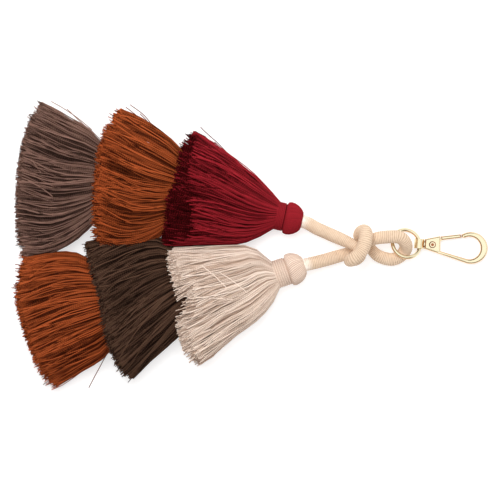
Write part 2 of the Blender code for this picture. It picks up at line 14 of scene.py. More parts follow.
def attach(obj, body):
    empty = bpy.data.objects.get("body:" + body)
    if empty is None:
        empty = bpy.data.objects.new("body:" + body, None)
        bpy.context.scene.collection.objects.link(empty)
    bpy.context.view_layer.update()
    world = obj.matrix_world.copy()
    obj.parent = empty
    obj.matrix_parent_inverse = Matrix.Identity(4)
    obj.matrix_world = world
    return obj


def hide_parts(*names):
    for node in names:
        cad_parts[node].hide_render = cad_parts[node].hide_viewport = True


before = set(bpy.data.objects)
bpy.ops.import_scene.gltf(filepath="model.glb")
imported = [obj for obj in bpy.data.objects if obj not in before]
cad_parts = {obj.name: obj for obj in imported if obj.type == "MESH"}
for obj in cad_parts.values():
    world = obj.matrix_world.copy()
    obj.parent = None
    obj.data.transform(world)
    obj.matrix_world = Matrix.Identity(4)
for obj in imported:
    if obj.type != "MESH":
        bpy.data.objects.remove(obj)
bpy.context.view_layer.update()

LOG = logging.getLogger("tassel_charm")
MM = 0.001
BUMP_DEPTH = 0.2 * MM


# Node trees


class NodeBuilder:
    """Adds nodes to a tree and joins them."""

    def __init__(self, tree: bpy.types.NodeTree) -> None:
        """Start on a tree."""
        self.tree = tree

    def add(self, kind: str, values: dict[str | int, object] | None = None,
            **settings: object) -> bpy.types.Node:
        """Add a node.

        Args:
            kind: Blender's name for the node's type.
            values: A plain value or a socket for some of its inputs, by name or number.
            settings: Properties of the node.

        Returns:
            The node.
        """
        made = self.tree.nodes.new(kind)
        for key, value in settings.items():
            setattr(made, key, value)
        for key, value in (values or {}).items():
            if isinstance(value, bpy.types.NodeSocket):
                self.link(value, made.inputs[key])
            else:
                made.inputs[key].default_value = value
        return made

    def link(self, source: bpy.types.NodeSocket, target: bpy.types.NodeSocket) -> None:
        """Join two sockets."""
        self.tree.links.new(source, target)

    def maths(self, operation: str, *values: object) -> bpy.types.NodeSocket:
        """The result of a Math node on sockets or plain numbers."""
        return self.add("ShaderNodeMath", dict(enumerate(values)), operation=operation).outputs[0]

    def vector(self, operation: str, *values: object) -> bpy.types.NodeSocket:
        """The vector from a Vector Math node on sockets or plain vectors."""
        return self.add("ShaderNodeVectorMath", dict(enumerate(values)), operation=operation).outputs[0]

    def scaled(self, vector: bpy.types.NodeSocket, by: bpy.types.NodeSocket) -> bpy.types.NodeSocket:
        """A vector times a number."""
        return self.add("ShaderNodeVectorMath", {0: vector, "Scale": by}, operation="SCALE").outputs[0]

    def mixed(self, share: bpy.types.NodeSocket, first: object, second: object) -> bpy.types.NodeSocket:
        """A blend of two colours, which are sockets or plain colours."""
        colours = {"Factor": share, 6: first, 7: second}
        return self.add("ShaderNodeMix", colours, data_type="RGBA").outputs[2]

    def ramp(self, share: bpy.types.NodeSocket,
             *stops: tuple[float, tuple[float, float, float]]) -> bpy.types.NodeSocket:
        """A colour from a ramp.

        Args:
            share: Where on the ramp.
            stops: Places on the ramp, in rising order, and their colours.

        Returns:
            The colour.
        """
        node = self.add("ShaderNodeValToRGB", {"Fac": share})
        elements = node.color_ramp.elements
        for number, (place, colour) in enumerate(stops):
            stop = elements[number] if number < 2 else elements.new(place)
            stop.position = place
            stop.color = (*colour, 1.0)
        return node.outputs["Color"]


class ShaderTree(NodeBuilder):
    """The nodes of one Principled material."""

    def __init__(self, name: str, constants: dict[str, float]) -> None:
        """Start a material.

        Args:
            name: Its name.
            constants: Values for the shader's own sockets.
        """
        self.material = bpy.data.materials.new(name)
        self.material.use_nodes = True
        super().__init__(self.material.node_tree)
        self.shader = self.tree.nodes["Principled BSDF"]
        for label, value in constants.items():
            self.shader.inputs[label].default_value = value

    def attribute(self, label: str) -> bpy.types.NodeSocket:
        """The value of one of the mesh's attributes."""
        return self.add("ShaderNodeAttribute", attribute_name=label).outputs["Fac"]

    def noise(self, scale: float, detail: float) -> bpy.types.NodeSocket:
        """Noise fixed to the object."""
        place = self.add("ShaderNodeTexCoord").outputs["Object"]
        values = {"Vector": place, "Scale": scale, "Detail": detail}
        return self.add("ShaderNodeTexNoise", values).outputs["Fac"]

    def paint(self, colour: bpy.types.NodeSocket) -> None:
        """Use a colour as the surface's own."""
        self.link(colour, self.shader.inputs["Base Color"])

    def roughen(self, height: bpy.types.NodeSocket, strength: float) -> None:
        """Bump the surface slightly by a height."""
        values = {"Height": height, "Strength": strength, "Distance": BUMP_DEPTH}
        self.link(self.add("ShaderNodeBump", values).outputs["Normal"], self.shader.inputs["Normal"])


class NodeGroup(NodeBuilder):
    """A Geometry Nodes tree with named inputs."""

    def __init__(self, name: str, inputs: dict[str, str]) -> None:
        """Start a tree.

        Args:
            name: Name of the tree.
            inputs: Socket type of each named input.
        """
        super().__init__(bpy.data.node_groups.new(name, "GeometryNodeTree"))
        face = self.tree.interface
        face.new_socket("Geometry", in_out="INPUT", socket_type="NodeSocketGeometry")
        for label, kind in inputs.items():
            face.new_socket(label, in_out="INPUT", socket_type=kind)
        face.new_socket("Geometry", in_out="OUTPUT", socket_type="NodeSocketGeometry")
        self.start = self.tree.nodes.new("NodeGroupInput")
        self.end = self.tree.nodes.new("NodeGroupOutput")

    def given(self, label: str) -> bpy.types.NodeSocket:
        """One of the tree's named inputs."""
        return self.start.outputs[label]

    def attribute(self, label: str) -> bpy.types.NodeSocket:
        """The value of a named float attribute."""
        node = self.add("GeometryNodeInputNamedAttribute", {"Name": label}, data_type="FLOAT")
        return node.outputs["Attribute"]

    def keep(self, geometry: bpy.types.NodeSocket, label: str,
             value: bpy.types.NodeSocket) -> bpy.types.NodeSocket:
        """Store a value on each point.

        Args:
            geometry: The geometry to store it on.
            label: Name of the attribute.
            value: The value.

        Returns:
            The geometry with the attribute.
        """
        values = {"Geometry": geometry, "Name": label, "Value": value}
        return self.add("GeometryNodeStoreNamedAttribute", values,
                        data_type="FLOAT", domain="POINT").outputs[0]

    def circle(self, radius: str) -> bpy.types.NodeSocket:
        """A circle with the tree's number of sides, its radius from a named input."""
        values = {"Resolution": self.given("Sides"), "Radius": self.given(radius)}
        return self.add("GeometryNodeCurvePrimitiveCircle", values, mode="RADIUS").outputs["Curve"]

    def close(self, geometry: bpy.types.NodeSocket) -> bpy.types.NodeTree:
        """End the tree in Set Shade Smooth, Realize Instances and Set Material.

        Args:
            geometry: The geometry to finish.

        Returns:
            The tree.
        """
        smooth = self.add("GeometryNodeSetShadeSmooth", {"Geometry": geometry})
        real = self.add("GeometryNodeRealizeInstances", {0: smooth.outputs[0]})
        values = {"Geometry": real.outputs[0], "Material": self.given("Finish")}
        finish = self.add("GeometryNodeSetMaterial", values)
        self.link(finish.outputs[0], self.end.inputs[0])
        return self.tree


# Finishes


@dataclass(frozen=True)
class YarnFinish:
    """Colours of one cut yarn, from painted shade deep in the fringe to its lit colour, and its lustre."""

    name: str
    dark: tuple[float, float, float]
    light: tuple[float, float, float]
    roughness: float = 0.9
    gloss: float = 0.04
    bump: float = 0.25
    twist: float = 1.4
    fibre_scale: float = 2200.0
    fibre_share: float = 0.5

    def material(self) -> bpy.types.Material:
        """The yarn's material, made once.

        Returns:
            A Principled material that reads each thread's own lightness together with the painted
            shade of its depth in the fringe, with its ply as slanting bands along the thread.
        """
        found = bpy.data.materials.get(self.name)
        if found:
            return found
        tree = ShaderTree(self.name, {"Roughness": self.roughness, "Specular IOR Level": self.gloss})
        fibre = tree.noise(self.fibre_scale, 2.0)
        start = tree.maths("MULTIPLY", tree.attribute("phase"), 40.0)
        turn = tree.maths("MULTIPLY_ADD", tree.attribute("run"), 2 * math.pi / (self.twist * MM), start)
        wave = tree.maths("SINE", turn)
        ply = tree.maths("MULTIPLY_ADD", wave, tree.attribute("plied"), tree.attribute("tone_and_shade"))
        blend = tree.maths("MULTIPLY_ADD", tree.maths("SUBTRACT", fibre, 0.5), self.fibre_share, ply)
        tree.paint(tree.ramp(blend, (0.0, self.dark), (1.0, self.light)))
        tree.roughen(fibre, self.bump)
        return tree.material


@dataclass(frozen=True)
class WindingFinish:
    """The pale yarn wound closely round the cord, painted darker between its turns as painted shade, and
    frayed at its ends.
    """

    name: str = "wound_cord_yarn"
    # The groove colour is painted shade between the turns.
    groove: tuple[float, float, float] = (0.38, 0.235, 0.13)
    ridge: tuple[float, float, float] = (0.79, 0.615, 0.46)
    frayed: tuple[float, float, float] = (0.98, 0.93, 0.86)
    roughness: float = 0.75
    gloss: float = 0.15
    patch_scale: float = 420.0
    patch_share: float = 0.55
    full_ridge: float = 0.75
    bump: float = 0.3

    def material(self) -> bpy.types.Material:
        """The winding's material, made once.

        Returns:
            A Principled material that reads the attributes ridge and fray.
        """
        found = bpy.data.materials.get(self.name)
        if found:
            return found
        tree = ShaderTree(self.name, {"Roughness": self.roughness, "Specular IOR Level": self.gloss})
        patch = tree.noise(self.patch_scale, 4.0)
        height = tree.maths("MULTIPLY_ADD", tree.attribute("ridge"), 0.7, 0.05)
        blend = tree.maths("MULTIPLY_ADD", patch, self.patch_share, height)
        # Darker towards the groove colour between the turns: painted shade.
        yarn = tree.ramp(blend, (0.0, self.groove), (self.full_ridge, self.ridge))
        share = tree.add("ShaderNodeMath", {0: tree.attribute("fray"), 1: patch},
                         operation="MULTIPLY", use_clamp=True).outputs[0]
        tree.paint(tree.mixed(share, yarn, (*self.frayed, 1.0)))
        tree.roughen(patch, self.bump)
        return tree.material


@dataclass(frozen=True)
class MetalFinish:
    """Polished plating, painted darker on its flanks as painted shade, with faint wear in its gloss."""

    name: str
    colour: tuple[float, float, float]
    # The flank colour is painted shade on sideways faces.
    flank: tuple[float, float, float]
    roughness: float = 0.12
    wear_scale: float = 350.0
    bump: float = 0.05

    def material(self) -> bpy.types.Material:
        """The metal's material, made once.

        Returns:
            A Principled material that reads the attribute flank.
        """
        found = bpy.data.materials.get(self.name)
        if found:
            return found
        tree = ShaderTree(self.name, {"Metallic": 1.0})
        # Sideways faces get the flank colour, a painted shade.
        tree.paint(tree.ramp(tree.attribute("flank"), (0.0, self.colour), (1.0, self.flank)))
        wear = tree.noise(self.wear_scale, 5.0)
        gloss = tree.add("ShaderNodeMapRange", {"Value": wear, "To Min": self.roughness * 0.7,
                                                "To Max": self.roughness * 1.5})
        tree.link(gloss.outputs["Result"], tree.shader.inputs["Roughness"])
        tree.roughen(wear, self.bump)
        return tree.material


class Yarn(Enum):
    """The yarns that the tassels are cut from."""

    # Each yarn's first colour is mostly painted shade, for threads deep in the fringe.
    RED = YarnFinish("red_thread", (0.018, 0.001, 0.001), (0.425, 0.0225, 0.034))
    RUST = YarnFinish("rust_thread", (0.026, 0.005, 0.002), (0.565, 0.119, 0.033))
    TAUPE = YarnFinish("taupe_thread", (0.014, 0.007, 0.005), (0.325, 0.181, 0.140))
    CREAM = YarnFinish("cream_thread", (0.520, 0.360, 0.270), (1.000, 0.850, 0.735))
    BROWN = YarnFinish("dark_brown_thread", (0.007, 0.003, 0.002), (0.130, 0.069, 0.044))


# The second colour of each metal is painted shade on its flanks.
GOLD = MetalFinish("pale_gold", (0.96, 0.86, 0.60), (0.80, 0.46, 0.22))
# Dark gold is a painted edge shadow on the rivet's rim, and the darker rivet middle and gate tongue.
DARK_GOLD = MetalFinish("rivet_gold", (0.42, 0.15, 0.07), (0.40, 0.17, 0.08), 0.25)
WINDING = WindingFinish()


# Helpers


def thread_tree() -> bpy.types.NodeTree:
    """The tree that turns paths into wavy threads lying on or above the table, made once.

    Returns:
        A tree with the inputs Thread Radius, Sides, Wave, Wave Scale and Finish.
    """
    found = bpy.data.node_groups.get("threads")
    if found:
        return found
    group = NodeGroup("threads", {
        "Thread Radius": "NodeSocketFloat", "Sides": "NodeSocketInt", "Wave": "NodeSocketFloat",
        "Wave Scale": "NodeSocketFloat", "Finish": "NodeSocketMaterial",
    })
    phase = group.attribute("phase")
    offset = group.add("ShaderNodeCombineXYZ", {"X": phase, "Y": group.maths("MULTIPLY", phase, 3.7)})
    spot = group.add("GeometryNodeInputPosition").outputs[0]
    moved = group.vector("ADD", spot, offset.outputs[0])
    noise = group.add("ShaderNodeTexNoise",
                      {"Vector": moved, "Scale": group.given("Wave Scale"), "Detail": 1.0})
    centred = group.vector("SUBTRACT", noise.outputs["Color"], (0.5, 0.5, 0.5))
    strength = group.maths("MULTIPLY", group.attribute("freedom"), group.given("Wave"))
    wavy = group.add("GeometryNodeSetPosition", {"Geometry": group.given("Geometry"),
                                                 "Offset": group.scaled(centred, strength)})
    low = group.add("ShaderNodeSeparateXYZ", {0: spot})
    height = group.maths("MAXIMUM", low.outputs["Z"], group.given("Thread Radius"))
    lifted = group.add("ShaderNodeCombineXYZ",
                       {"X": low.outputs["X"], "Y": low.outputs["Y"], "Z": height})
    rest = group.add("GeometryNodeSetPosition",
                     {"Geometry": wavy.outputs[0], "Position": lifted.outputs[0]})
    curve = group.add("GeometryNodeMeshToCurve", {0: rest.outputs[0]})
    run = group.add("GeometryNodeSplineParameter").outputs["Length"]
    skin = group.add("GeometryNodeCurveToMesh", {
        "Curve": group.keep(curve.outputs[0], "run", run),
        "Profile Curve": group.circle("Thread Radius"), "Fill Caps": True})
    return group.close(skin.outputs[0])


def winding_tree() -> bpy.types.NodeTree:
    """The tree that turns a path into a cord closely wound with yarn, made once.

    Returns:
        A tree with the inputs Cord Radius, Rings, Sides, Pitch, Relief and Finish.
    """
    found = bpy.data.node_groups.get("winding")
    if found:
        return found
    group = NodeGroup("winding", {
        "Cord Radius": "NodeSocketFloat", "Rings": "NodeSocketInt", "Sides": "NodeSocketInt",
        "Pitch": "NodeSocketFloat", "Relief": "NodeSocketFloat", "Finish": "NodeSocketMaterial",
    })
    curve = group.add("GeometryNodeMeshToCurve", {0: group.given("Geometry")})
    steps = group.add("GeometryNodeResampleCurve",
                      {"Curve": curve.outputs[0], "Count": group.given("Rings")})
    along = group.add("GeometryNodeSplineParameter").outputs["Length"]
    girth = group.add("GeometryNodeSetCurveRadius", {
        "Curve": group.keep(steps.outputs[0], "along", along), "Radius": group.attribute("girth")})
    around = group.add("GeometryNodeSplineParameter").outputs["Factor"]
    skin = group.add("GeometryNodeCurveToMesh", {
        "Curve": girth.outputs[0], "Profile Curve": group.keep(group.circle("Cord Radius"), "around", around),
        "Fill Caps": True})
    if "Scale" in skin.inputs:
        group.link(group.attribute("girth"), skin.inputs["Scale"])
    turns = group.maths("DIVIDE", group.attribute("along"), group.given("Pitch"))
    uneven = group.add("ShaderNodeTexNoise", {"Scale": 170.0, "Detail": 1.0})
    turns = group.maths("MULTIPLY_ADD", uneven.outputs["Fac"], 0.9, turns)
    angle = group.maths("MULTIPLY", group.maths("ADD", turns, group.attribute("around")), 2 * math.pi)
    ridge = group.maths("MULTIPLY_ADD", group.maths("COSINE", angle), 0.5, 0.5)
    kept = group.keep(skin.outputs[0], "ridge", ridge)
    height = group.maths("MULTIPLY", group.attribute("ridge"), group.given("Relief"))
    out = group.add("GeometryNodeInputNormal").outputs[0]
    place = group.add("GeometryNodeSetPosition", {"Geometry": kept, "Offset": group.scaled(out, height)})
    return group.close(place.outputs[0])


def grown(name: str, source: bpy.types.Mesh, tree: bpy.types.NodeTree,
          values: dict[str, object]) -> bpy.types.Object:
    """A plain mesh object grown from a mesh by a Geometry Nodes tree.

    Args:
        name: Name of the object.
        source: The mesh that the tree starts from.
        tree: The tree.
        values: A value for each named input.

    Returns:
        The object, with no modifier left on it.
    """
    seed = bpy.data.objects.new(f"{name}_paths", source)
    bpy.context.scene.collection.objects.link(seed)
    step = seed.modifiers.new("grow", "NODES")
    step.node_group = tree
    for item in tree.interface.items_tree:
        if item.item_type == "SOCKET" and item.in_out == "INPUT" and item.name in values:
            step[item.identifier] = values[item.name]
    bpy.context.view_layer.update()
    graph = bpy.context.evaluated_depsgraph_get()
    mesh = bpy.data.meshes.new_from_object(seed.evaluated_get(graph))
    bpy.data.objects.remove(seed, do_unlink=True)
    mesh.name = name
    made = bpy.data.objects.new(name, mesh)
    bpy.context.scene.collection.objects.link(made)
    return made


def path_mesh(name: str, paths: np.ndarray, layers: dict[str, np.ndarray]) -> bpy.types.Mesh:
    """A mesh of open lines.

    Args:
        name: Name of the mesh.
        paths: Points in metres, one row of points for each line.
        layers: Float attributes, a value for each point.

    Returns:
        The mesh, with an edge between neighbouring points of a line.
    """
    lines, points = paths.shape[:2]
    mesh = bpy.data.meshes.new(name)
    mesh.vertices.add(lines * points)
    mesh.vertices.foreach_set("co", paths.reshape(-1).astype(np.float32))
    number = np.arange(lines * points).reshape(lines, points)
    edges = np.stack([number[:, :-1], number[:, 1:]], axis=-1).reshape(-1, 2)
    mesh.edges.add(len(edges))
    mesh.edges.foreach_set("vertices", edges.reshape(-1).astype(np.int32))
    for label, data in layers.items():
        layer = mesh.attributes.new(label, "FLOAT", "POINT")
        layer.data.foreach_set("value", np.ascontiguousarray(data.reshape(-1), np.float32))
    mesh.update()
    return mesh


def joined(name: str, items: list[bpy.types.Object]) -> bpy.types.Object:
    """Join mesh objects into one.

    Args:
        name: Name of the result.
        items: The objects, all at the origin.

    Returns:
        The one object that is left.
    """
    bpy.ops.object.select_all(action="DESELECT")
    for item in items:
        item.select_set(True)
    bpy.context.view_layer.objects.active = items[0]
    bpy.ops.object.join()
    made = bpy.context.view_layer.objects.active
    made.name = made.data.name = name
    return made


def settled(item: bpy.types.Object, place: Matrix) -> bpy.types.Object:
    """Apply an object's modifiers and put its place in its mesh.

    Args:
        item: The object.
        place: Where its own frame lies.

    Returns:
        A new object at the origin, with no modifiers.
    """
    bpy.context.view_layer.update()
    graph = bpy.context.evaluated_depsgraph_get()
    mesh = bpy.data.meshes.new_from_object(item.evaluated_get(graph))
    mesh.transform(place @ item.matrix_world)
    name = item.name
    finishes = [slot.material for slot in item.material_slots]
    bpy.data.objects.remove(item, do_unlink=True)
    made = bpy.data.objects.new(name, mesh)
    made.name = mesh.name = name
    bpy.context.scene.collection.objects.link(made)
    if not mesh.materials:
        for finish in finishes:
            mesh.materials.append(finish)
    return made


def new_object(name: str, data: bpy.types.ID, finish: bpy.types.Material | None = None) -> bpy.types.Object:
    """An object in the scene with one material."""
    made = bpy.data.objects.new(name, data)
    bpy.context.scene.collection.objects.link(made)
    if finish:
        data.materials.clear()
        data.materials.append(finish)
    return made


def welded(mesh: bpy.types.Mesh, distance: float = 1e-6) -> bpy.types.Mesh:
    """Merge a mesh's doubled points and turn its faces outwards."""
    cage = bmesh.new()
    cage.from_mesh(mesh)
    bmesh.ops.remove_doubles(cage, verts=cage.verts, dist=distance)
    bmesh.ops.recalc_face_normals(cage, faces=cage.faces)
    cage.to_mesh(mesh)
    cage.free()
    return mesh


def turned(name: str, profile: list[tuple[float, float]], segments: int,
           finish: bpy.types.Material) -> bpy.types.Object:
    """A closed shape turned about Z.

    Args:
        name: Name of the object.
        profile: (radius, height) points in mm, from top to bottom.
        segments: Faces round the axis.
        finish: The material.

    Returns:
        The object, with its modifier applied.
    """
    outline = bpy.data.meshes.new(name)
    outline.from_pydata([(r * MM, 0.0, h * MM) for r, h in profile],
                        [(i, i + 1) for i in range(len(profile) - 1)], [])
    blank = new_object(name, outline, finish)
    screw = blank.modifiers.new("turn", "SCREW")
    screw.axis = "Z"
    screw.steps = screw.render_steps = segments
    screw.use_merge_vertices = True
    screw.merge_threshold = 1e-6
    made = settled(blank, Matrix.Identity(4))
    welded(made.data)
    made.data.shade_smooth()
    made.data.set_sharp_from_angle(angle=math.radians(50))
    return made


def smooth_route(stops: tuple[tuple[float, float, float, float], ...], count: int) -> np.ndarray:
    """Points at even steps along a smooth curve through the stops.

    Args:
        stops: (x, y, z, thickness) rows in mm.
        count: How many points to give.

    Returns:
        An array of (x, y, z, thickness) rows in mm.
    """
    rows = np.array(stops, float)
    rows = np.vstack([2 * rows[0] - rows[1], rows, 2 * rows[-1] - rows[-2]])
    fine = []
    for a, b, c, d in zip(rows, rows[1:], rows[2:], rows[3:]):
        for step in range(12):
            t = step / 12
            fine.append(0.5 * (2 * b + (c - a) * t + (2 * a - 5 * b + 4 * c - d) * t * t
                               + (3 * b - a - 3 * c + d) * t ** 3))
    fine.append(rows[-2])
    fine = np.array(fine)
    reach = np.concatenate([[0], np.cumsum(np.linalg.norm(np.diff(fine[:, :3], axis=0), axis=1))])
    wanted = np.linspace(0, reach[-1], count)
    return np.stack([np.interp(wanted, reach, fine[:, k]) for k in range(4)], axis=1)


# Tassels


@dataclass(frozen=True)
class Station:
    """One cross-section of a fringe, in mm: how far out it lies, and its extents."""

    reach: float
    upper: float
    lower: float
    bottom: float
    top: float


@dataclass(frozen=True)
class Head:
    """A wound head: a domed cap over a wrapped neck, sizes in mm."""

    length: float = 17.5
    cap_radius: float = 10.5
    cap_top_radius: float = 4.8
    groove_radius: float = 8.5
    neck_radius: float = 9.2
    neck_length: float = 5.8
    cap_threads: int = 120
    cap_thread_radius: float = 0.31
    cap_twist: float = 0.55
    cap_contrast: float = 0.05
    cap_tone: float = 0.69
    wraps: int = 5
    wrap_radius: float = 0.55
    wrap_tone: float = 0.60

    def cap_profile(self, inset: float) -> list[tuple[float, float]]:
        """The cap's outline from its top to its groove.

        Args:
            inset: How far inside the outer surface it lies.

        Returns:
            (radius, height) points in mm.
        """
        top = self.length
        rows = [(self.cap_top_radius - 0.6, top), (self.cap_radius * 0.56, top - 0.4),
                (self.cap_radius * 0.73, top - 1.9), (self.cap_radius * 0.88, top - 4.1),
                (self.cap_radius * 0.97, top - 6.5), (self.cap_radius, top - 8.7),
                (self.cap_radius * 0.96, top - 10.4), (self.groove_radius * 0.99, self.neck_length + 0.4)]
        centre = top - 7.5
        return [(max(0.0, r - inset), h - inset * (h - centre) / (top - centre)) for r, h in rows]


@dataclass
class FringedTassel:
    """One tassel: a wound head, and cut threads that fan out flat below and domed above."""

    name: str
    node: str
    yarn: Yarn
    neck: tuple[float, float, float]
    head_heading: float
    fan_heading: float
    stations: tuple[Station, ...]
    tips: tuple[tuple[float, float], ...]
    brush: tuple[float, float]
    strays: tuple[tuple[float, float, float, float], ...] = ()
    stray_tone: float = 0.25
    threads: int = 2150
    thread_radius: float = 0.35
    points: int = 10
    fill_depth: float = 7.0
    clumps: int = 260
    pull: float = 0.15
    bundles: int = 64
    gather: float = 0.42
    ragged: float = 0.55
    seed: int = 1
    # How much of the painted depth shade lifts again at the cut tips.
    tip_shade_lift: float = 0.55
    root_reach: float = -1.6
    head_shift: float = 0.0
    upper_share: float = 0.68
    deepest: float = 10.0
    wave: float = 3.2
    wave_scale: float = 75.0
    head: Head = field(default_factory=Head)

    def head_frame(self) -> Matrix:
        """The head's own frame, its Z along the neck towards the cord."""
        return (Matrix.Translation(Vector(self.neck) * MM)
                @ Matrix.Rotation(math.radians(self.head_heading), 4, "Z")
                @ Matrix.Rotation(math.pi / 2, 4, "Y")
                @ Matrix.Translation(Vector((0.0, 0.0, self.head_shift)) * MM))

    def fan_directions(self) -> tuple[np.ndarray, np.ndarray]:
        """The fan's directions on the table: away from the head, and to its lower side."""
        turn = math.radians(self.fan_heading)
        return (np.array([-math.cos(turn), -math.sin(turn)]),
                np.array([math.sin(turn), -math.cos(turn)]))

    @staticmethod
    def section(station: Station, inset: float, shares: np.ndarray) -> np.ndarray:
        """Places round one section.

        Args:
            station: The section.
            inset: How far inside its outline the places lie.
            shares: How far round each place is, from 0 to 1, from the middle of the underside.

        Returns:
            (across, height) rows in mm.
        """
        angle = np.linspace(-math.pi / 2, 1.5 * math.pi, 481)
        across, up = np.cos(angle), np.sin(angle)
        half = np.where(across > 0, station.lower, station.upper) - inset
        bottom, top = station.bottom + inset, station.top - inset
        side = bottom + 0.24 * (top - bottom)
        power = 2.0 / 2.7
        y = np.maximum(half, 0.5) * np.sign(across) * np.abs(across) ** power
        z = np.where(up > 0, side + (top - side) * np.abs(up) ** power,
                     side - (side - bottom) * np.minimum(1.0, 1.6 * -up))
        reach = np.concatenate([[0], np.cumsum(np.hypot(np.diff(y), np.diff(z)))])
        wanted = (shares % 1.0) * reach[-1]
        return np.stack([np.interp(wanted, reach, y), np.interp(wanted, reach, z)], axis=-1)

    def placed(self, shares: np.ndarray, depth: np.ndarray, reach: np.ndarray) -> np.ndarray:
        """Places in the fringe.

        Args:
            shares: How far round the section each point is; a row for each thread.
            depth: How deep each thread lies, in mm.
            reach: How far from the neck each point is, in mm; a row for each thread.

        Returns:
            (across, height) of each point.
        """
        rows = []
        for station in self.stations:
            outer = self.section(station, 0.0, shares)
            inset = min(self.deepest, (station.top - station.bottom) / 2 - 0.5)
            inner = self.section(station, inset, shares)
            rows.append(outer + (inner - outer) * (depth / self.deepest)[:, None, None])
        angle = -math.pi / 2 + 2 * math.pi * shares
        radius = (self.head.neck_radius - 0.7) - depth[:, None] * 0.58
        root = np.stack([radius * np.cos(angle), self.neck[2] + radius * np.sin(angle)], axis=-1)
        knots = np.array([self.root_reach] + [s.reach for s in self.stations])
        values = np.stack([root] + rows)
        slopes = np.empty_like(values)
        span = knots[2:] - knots[:-2]
        slopes[1:-1] = (values[2:] - values[:-2]) / span[:, None, None, None]
        slopes[0] = (values[1] - values[0]) / (knots[1] - knots[0])
        slopes[-1] = (values[-1] - values[-2]) / (knots[-1] - knots[-2])
        at = np.clip(np.searchsorted(knots, reach, side="right") - 1, 0, len(knots) - 2)
        gap = (knots[1:] - knots[:-1])[at]
        t = ((reach - knots[at]) / gap)[..., None]
        i, j = np.indices(reach.shape)
        p0, p1 = values[at, i, j], values[at + 1, i, j]
        m0, m1 = slopes[at, i, j] * gap[..., None], slopes[at + 1, i, j] * gap[..., None]
        return ((2 * t ** 3 - 3 * t ** 2 + 1) * p0 + (t ** 3 - 2 * t ** 2 + t) * m0
                + (3 * t ** 2 - 2 * t ** 3) * p1 + (t ** 3 - t ** 2) * m1)

    def tip_reach(self, share: np.ndarray,
                  rng: np.random.Generator) -> tuple[np.ndarray, np.ndarray, np.ndarray]:
        """How far each thread reaches.

        Args:
            share: How far round the section each thread ends.
            rng: Source of the uneven cut.

        Returns:
            Lengths in mm along the fan, places across it from -1 to 1, and heights in mm.
        """
        last = self.stations[-2]
        end = self.section(last, 0.0, share)
        half = np.where(end[:, 0] > 0, last.lower, last.upper)
        place = end[:, 0] / half
        reach = np.interp(place, [row[0] for row in self.tips], [row[1] for row in self.tips])
        return reach + rng.normal(0, self.ragged, len(share)), place, end[:, 1]

    def thread_paths(self) -> tuple[np.ndarray, dict[str, np.ndarray]]:
        """The path of every cut thread.

        Returns:
            Points in metres, and their attributes.
        """
        rng = np.random.default_rng(self.seed)
        count = self.threads
        top = rng.random(count) < self.upper_share
        share = np.where(top, rng.uniform(0.2, 0.8, count), rng.uniform(-0.2, 0.2, count)) % 1.0
        depth = rng.beta(1.0, 1.6, count) * self.fill_depth + 0.3
        centres = np.sort(rng.random(self.clumps))
        clump = np.argmin(np.abs((share[:, None] - centres[None] + 0.5) % 1.0 - 0.5), axis=1)
        aim = (centres[clump] - share + 0.5) % 1.0 - 0.5
        hanks = (np.arange(self.bundles) + rng.uniform(0, 0.8, self.bundles)) / self.bundles
        hank = np.argmin(np.abs((share[:, None] - hanks[None] + 0.5) % 1.0 - 0.5), axis=1)
        gathered = (hanks[hank] - share + 0.5) % 1.0 - 0.5
        lift = rng.normal(0, 0.30, self.clumps)[clump] + rng.normal(0, 0.40, count)
        clump_reach = rng.normal(0, 0.45, self.clumps)[clump]
        drift = rng.normal(0, 0.020, count) + rng.normal(0, 0.012, self.clumps)[clump]
        reach, place, height = self.tip_reach(share, rng)
        crown = np.clip((height / self.stations[-2].top - 0.42) / 0.4, 0, 1)
        crown *= np.clip((3.4 - depth) / 1.8, 0, 1) * 0.8 + np.clip(1 - depth / 6.0, 0, 1) * 0.2
        lay = np.interp(place, [-1.0, -0.2, 0.2, 1.0],
                        [self.brush[0], self.brush[0], self.brush[1], self.brush[1]])
        reach = reach + clump_reach - lay * crown
        t = np.linspace(0, 1, self.points)[None, :]
        out = self.root_reach + (reach[:, None] - self.root_reach) * t
        shares = share[:, None] + aim[:, None] * self.pull * np.minimum(1, 0.25 + 0.9 * t)
        gathered = gathered * self.gather * np.clip(1.3 - depth / 2.2, 0.15, 1)
        shares = shares + gathered[:, None] * np.sin(math.pi * np.clip(t / 0.85, 0, 1))
        shares = shares + drift[:, None] * t * t
        spots = self.placed(shares, np.maximum(0.2, depth), out)
        loose = np.clip((-place - 0.60) / 0.30, 0, 1) * np.abs(rng.normal(0, 1.1, count))
        spots[..., 0] -= loose[:, None] * np.sin(math.pi * t * 0.8)
        spots[..., 1] += (lift[:, None] * t ** 1.5) * np.where(spots[..., 1] > 6.0, 1.0, 0.2)
        spots[..., 1] = np.maximum(self.thread_radius, spots[..., 1])
        away, left = self.fan_directions()
        flat = (np.array(self.neck[:2]) + out[..., None] * away + spots[..., :1] * left)
        paths = np.concatenate([flat, spots[..., 1:]], axis=-1) * MM
        tone_and_shade = 0.80 + rng.normal(0, 0.20, count) + rng.normal(0, 0.05, self.clumps)[clump]
        # Threads deeper in the fringe are painted darker, a painted shade inside the fringe; part of it lifts
        # again near the cut tips.
        depth_shade = np.clip((depth - 0.3) / 1.1, 0, 1)[:, None] ** 0.9
        ones = np.ones((count, self.points))
        cut_end = rng.normal(0, 0.24, count)[:, None] * t ** 10
        tone_and_shade = tone_and_shade[:, None] - depth_shade * (0.84 - self.tip_shade_lift * t ** 9) + cut_end
        tone_and_shade = np.clip(tone_and_shade, 0, 1)
        return paths, {
            "tone_and_shade": tone_and_shade * ones,
            "phase": rng.random(count)[:, None] * ones,
            "plied": 0.22 * ones,
            "freedom": ones * t ** 0.9,
        }

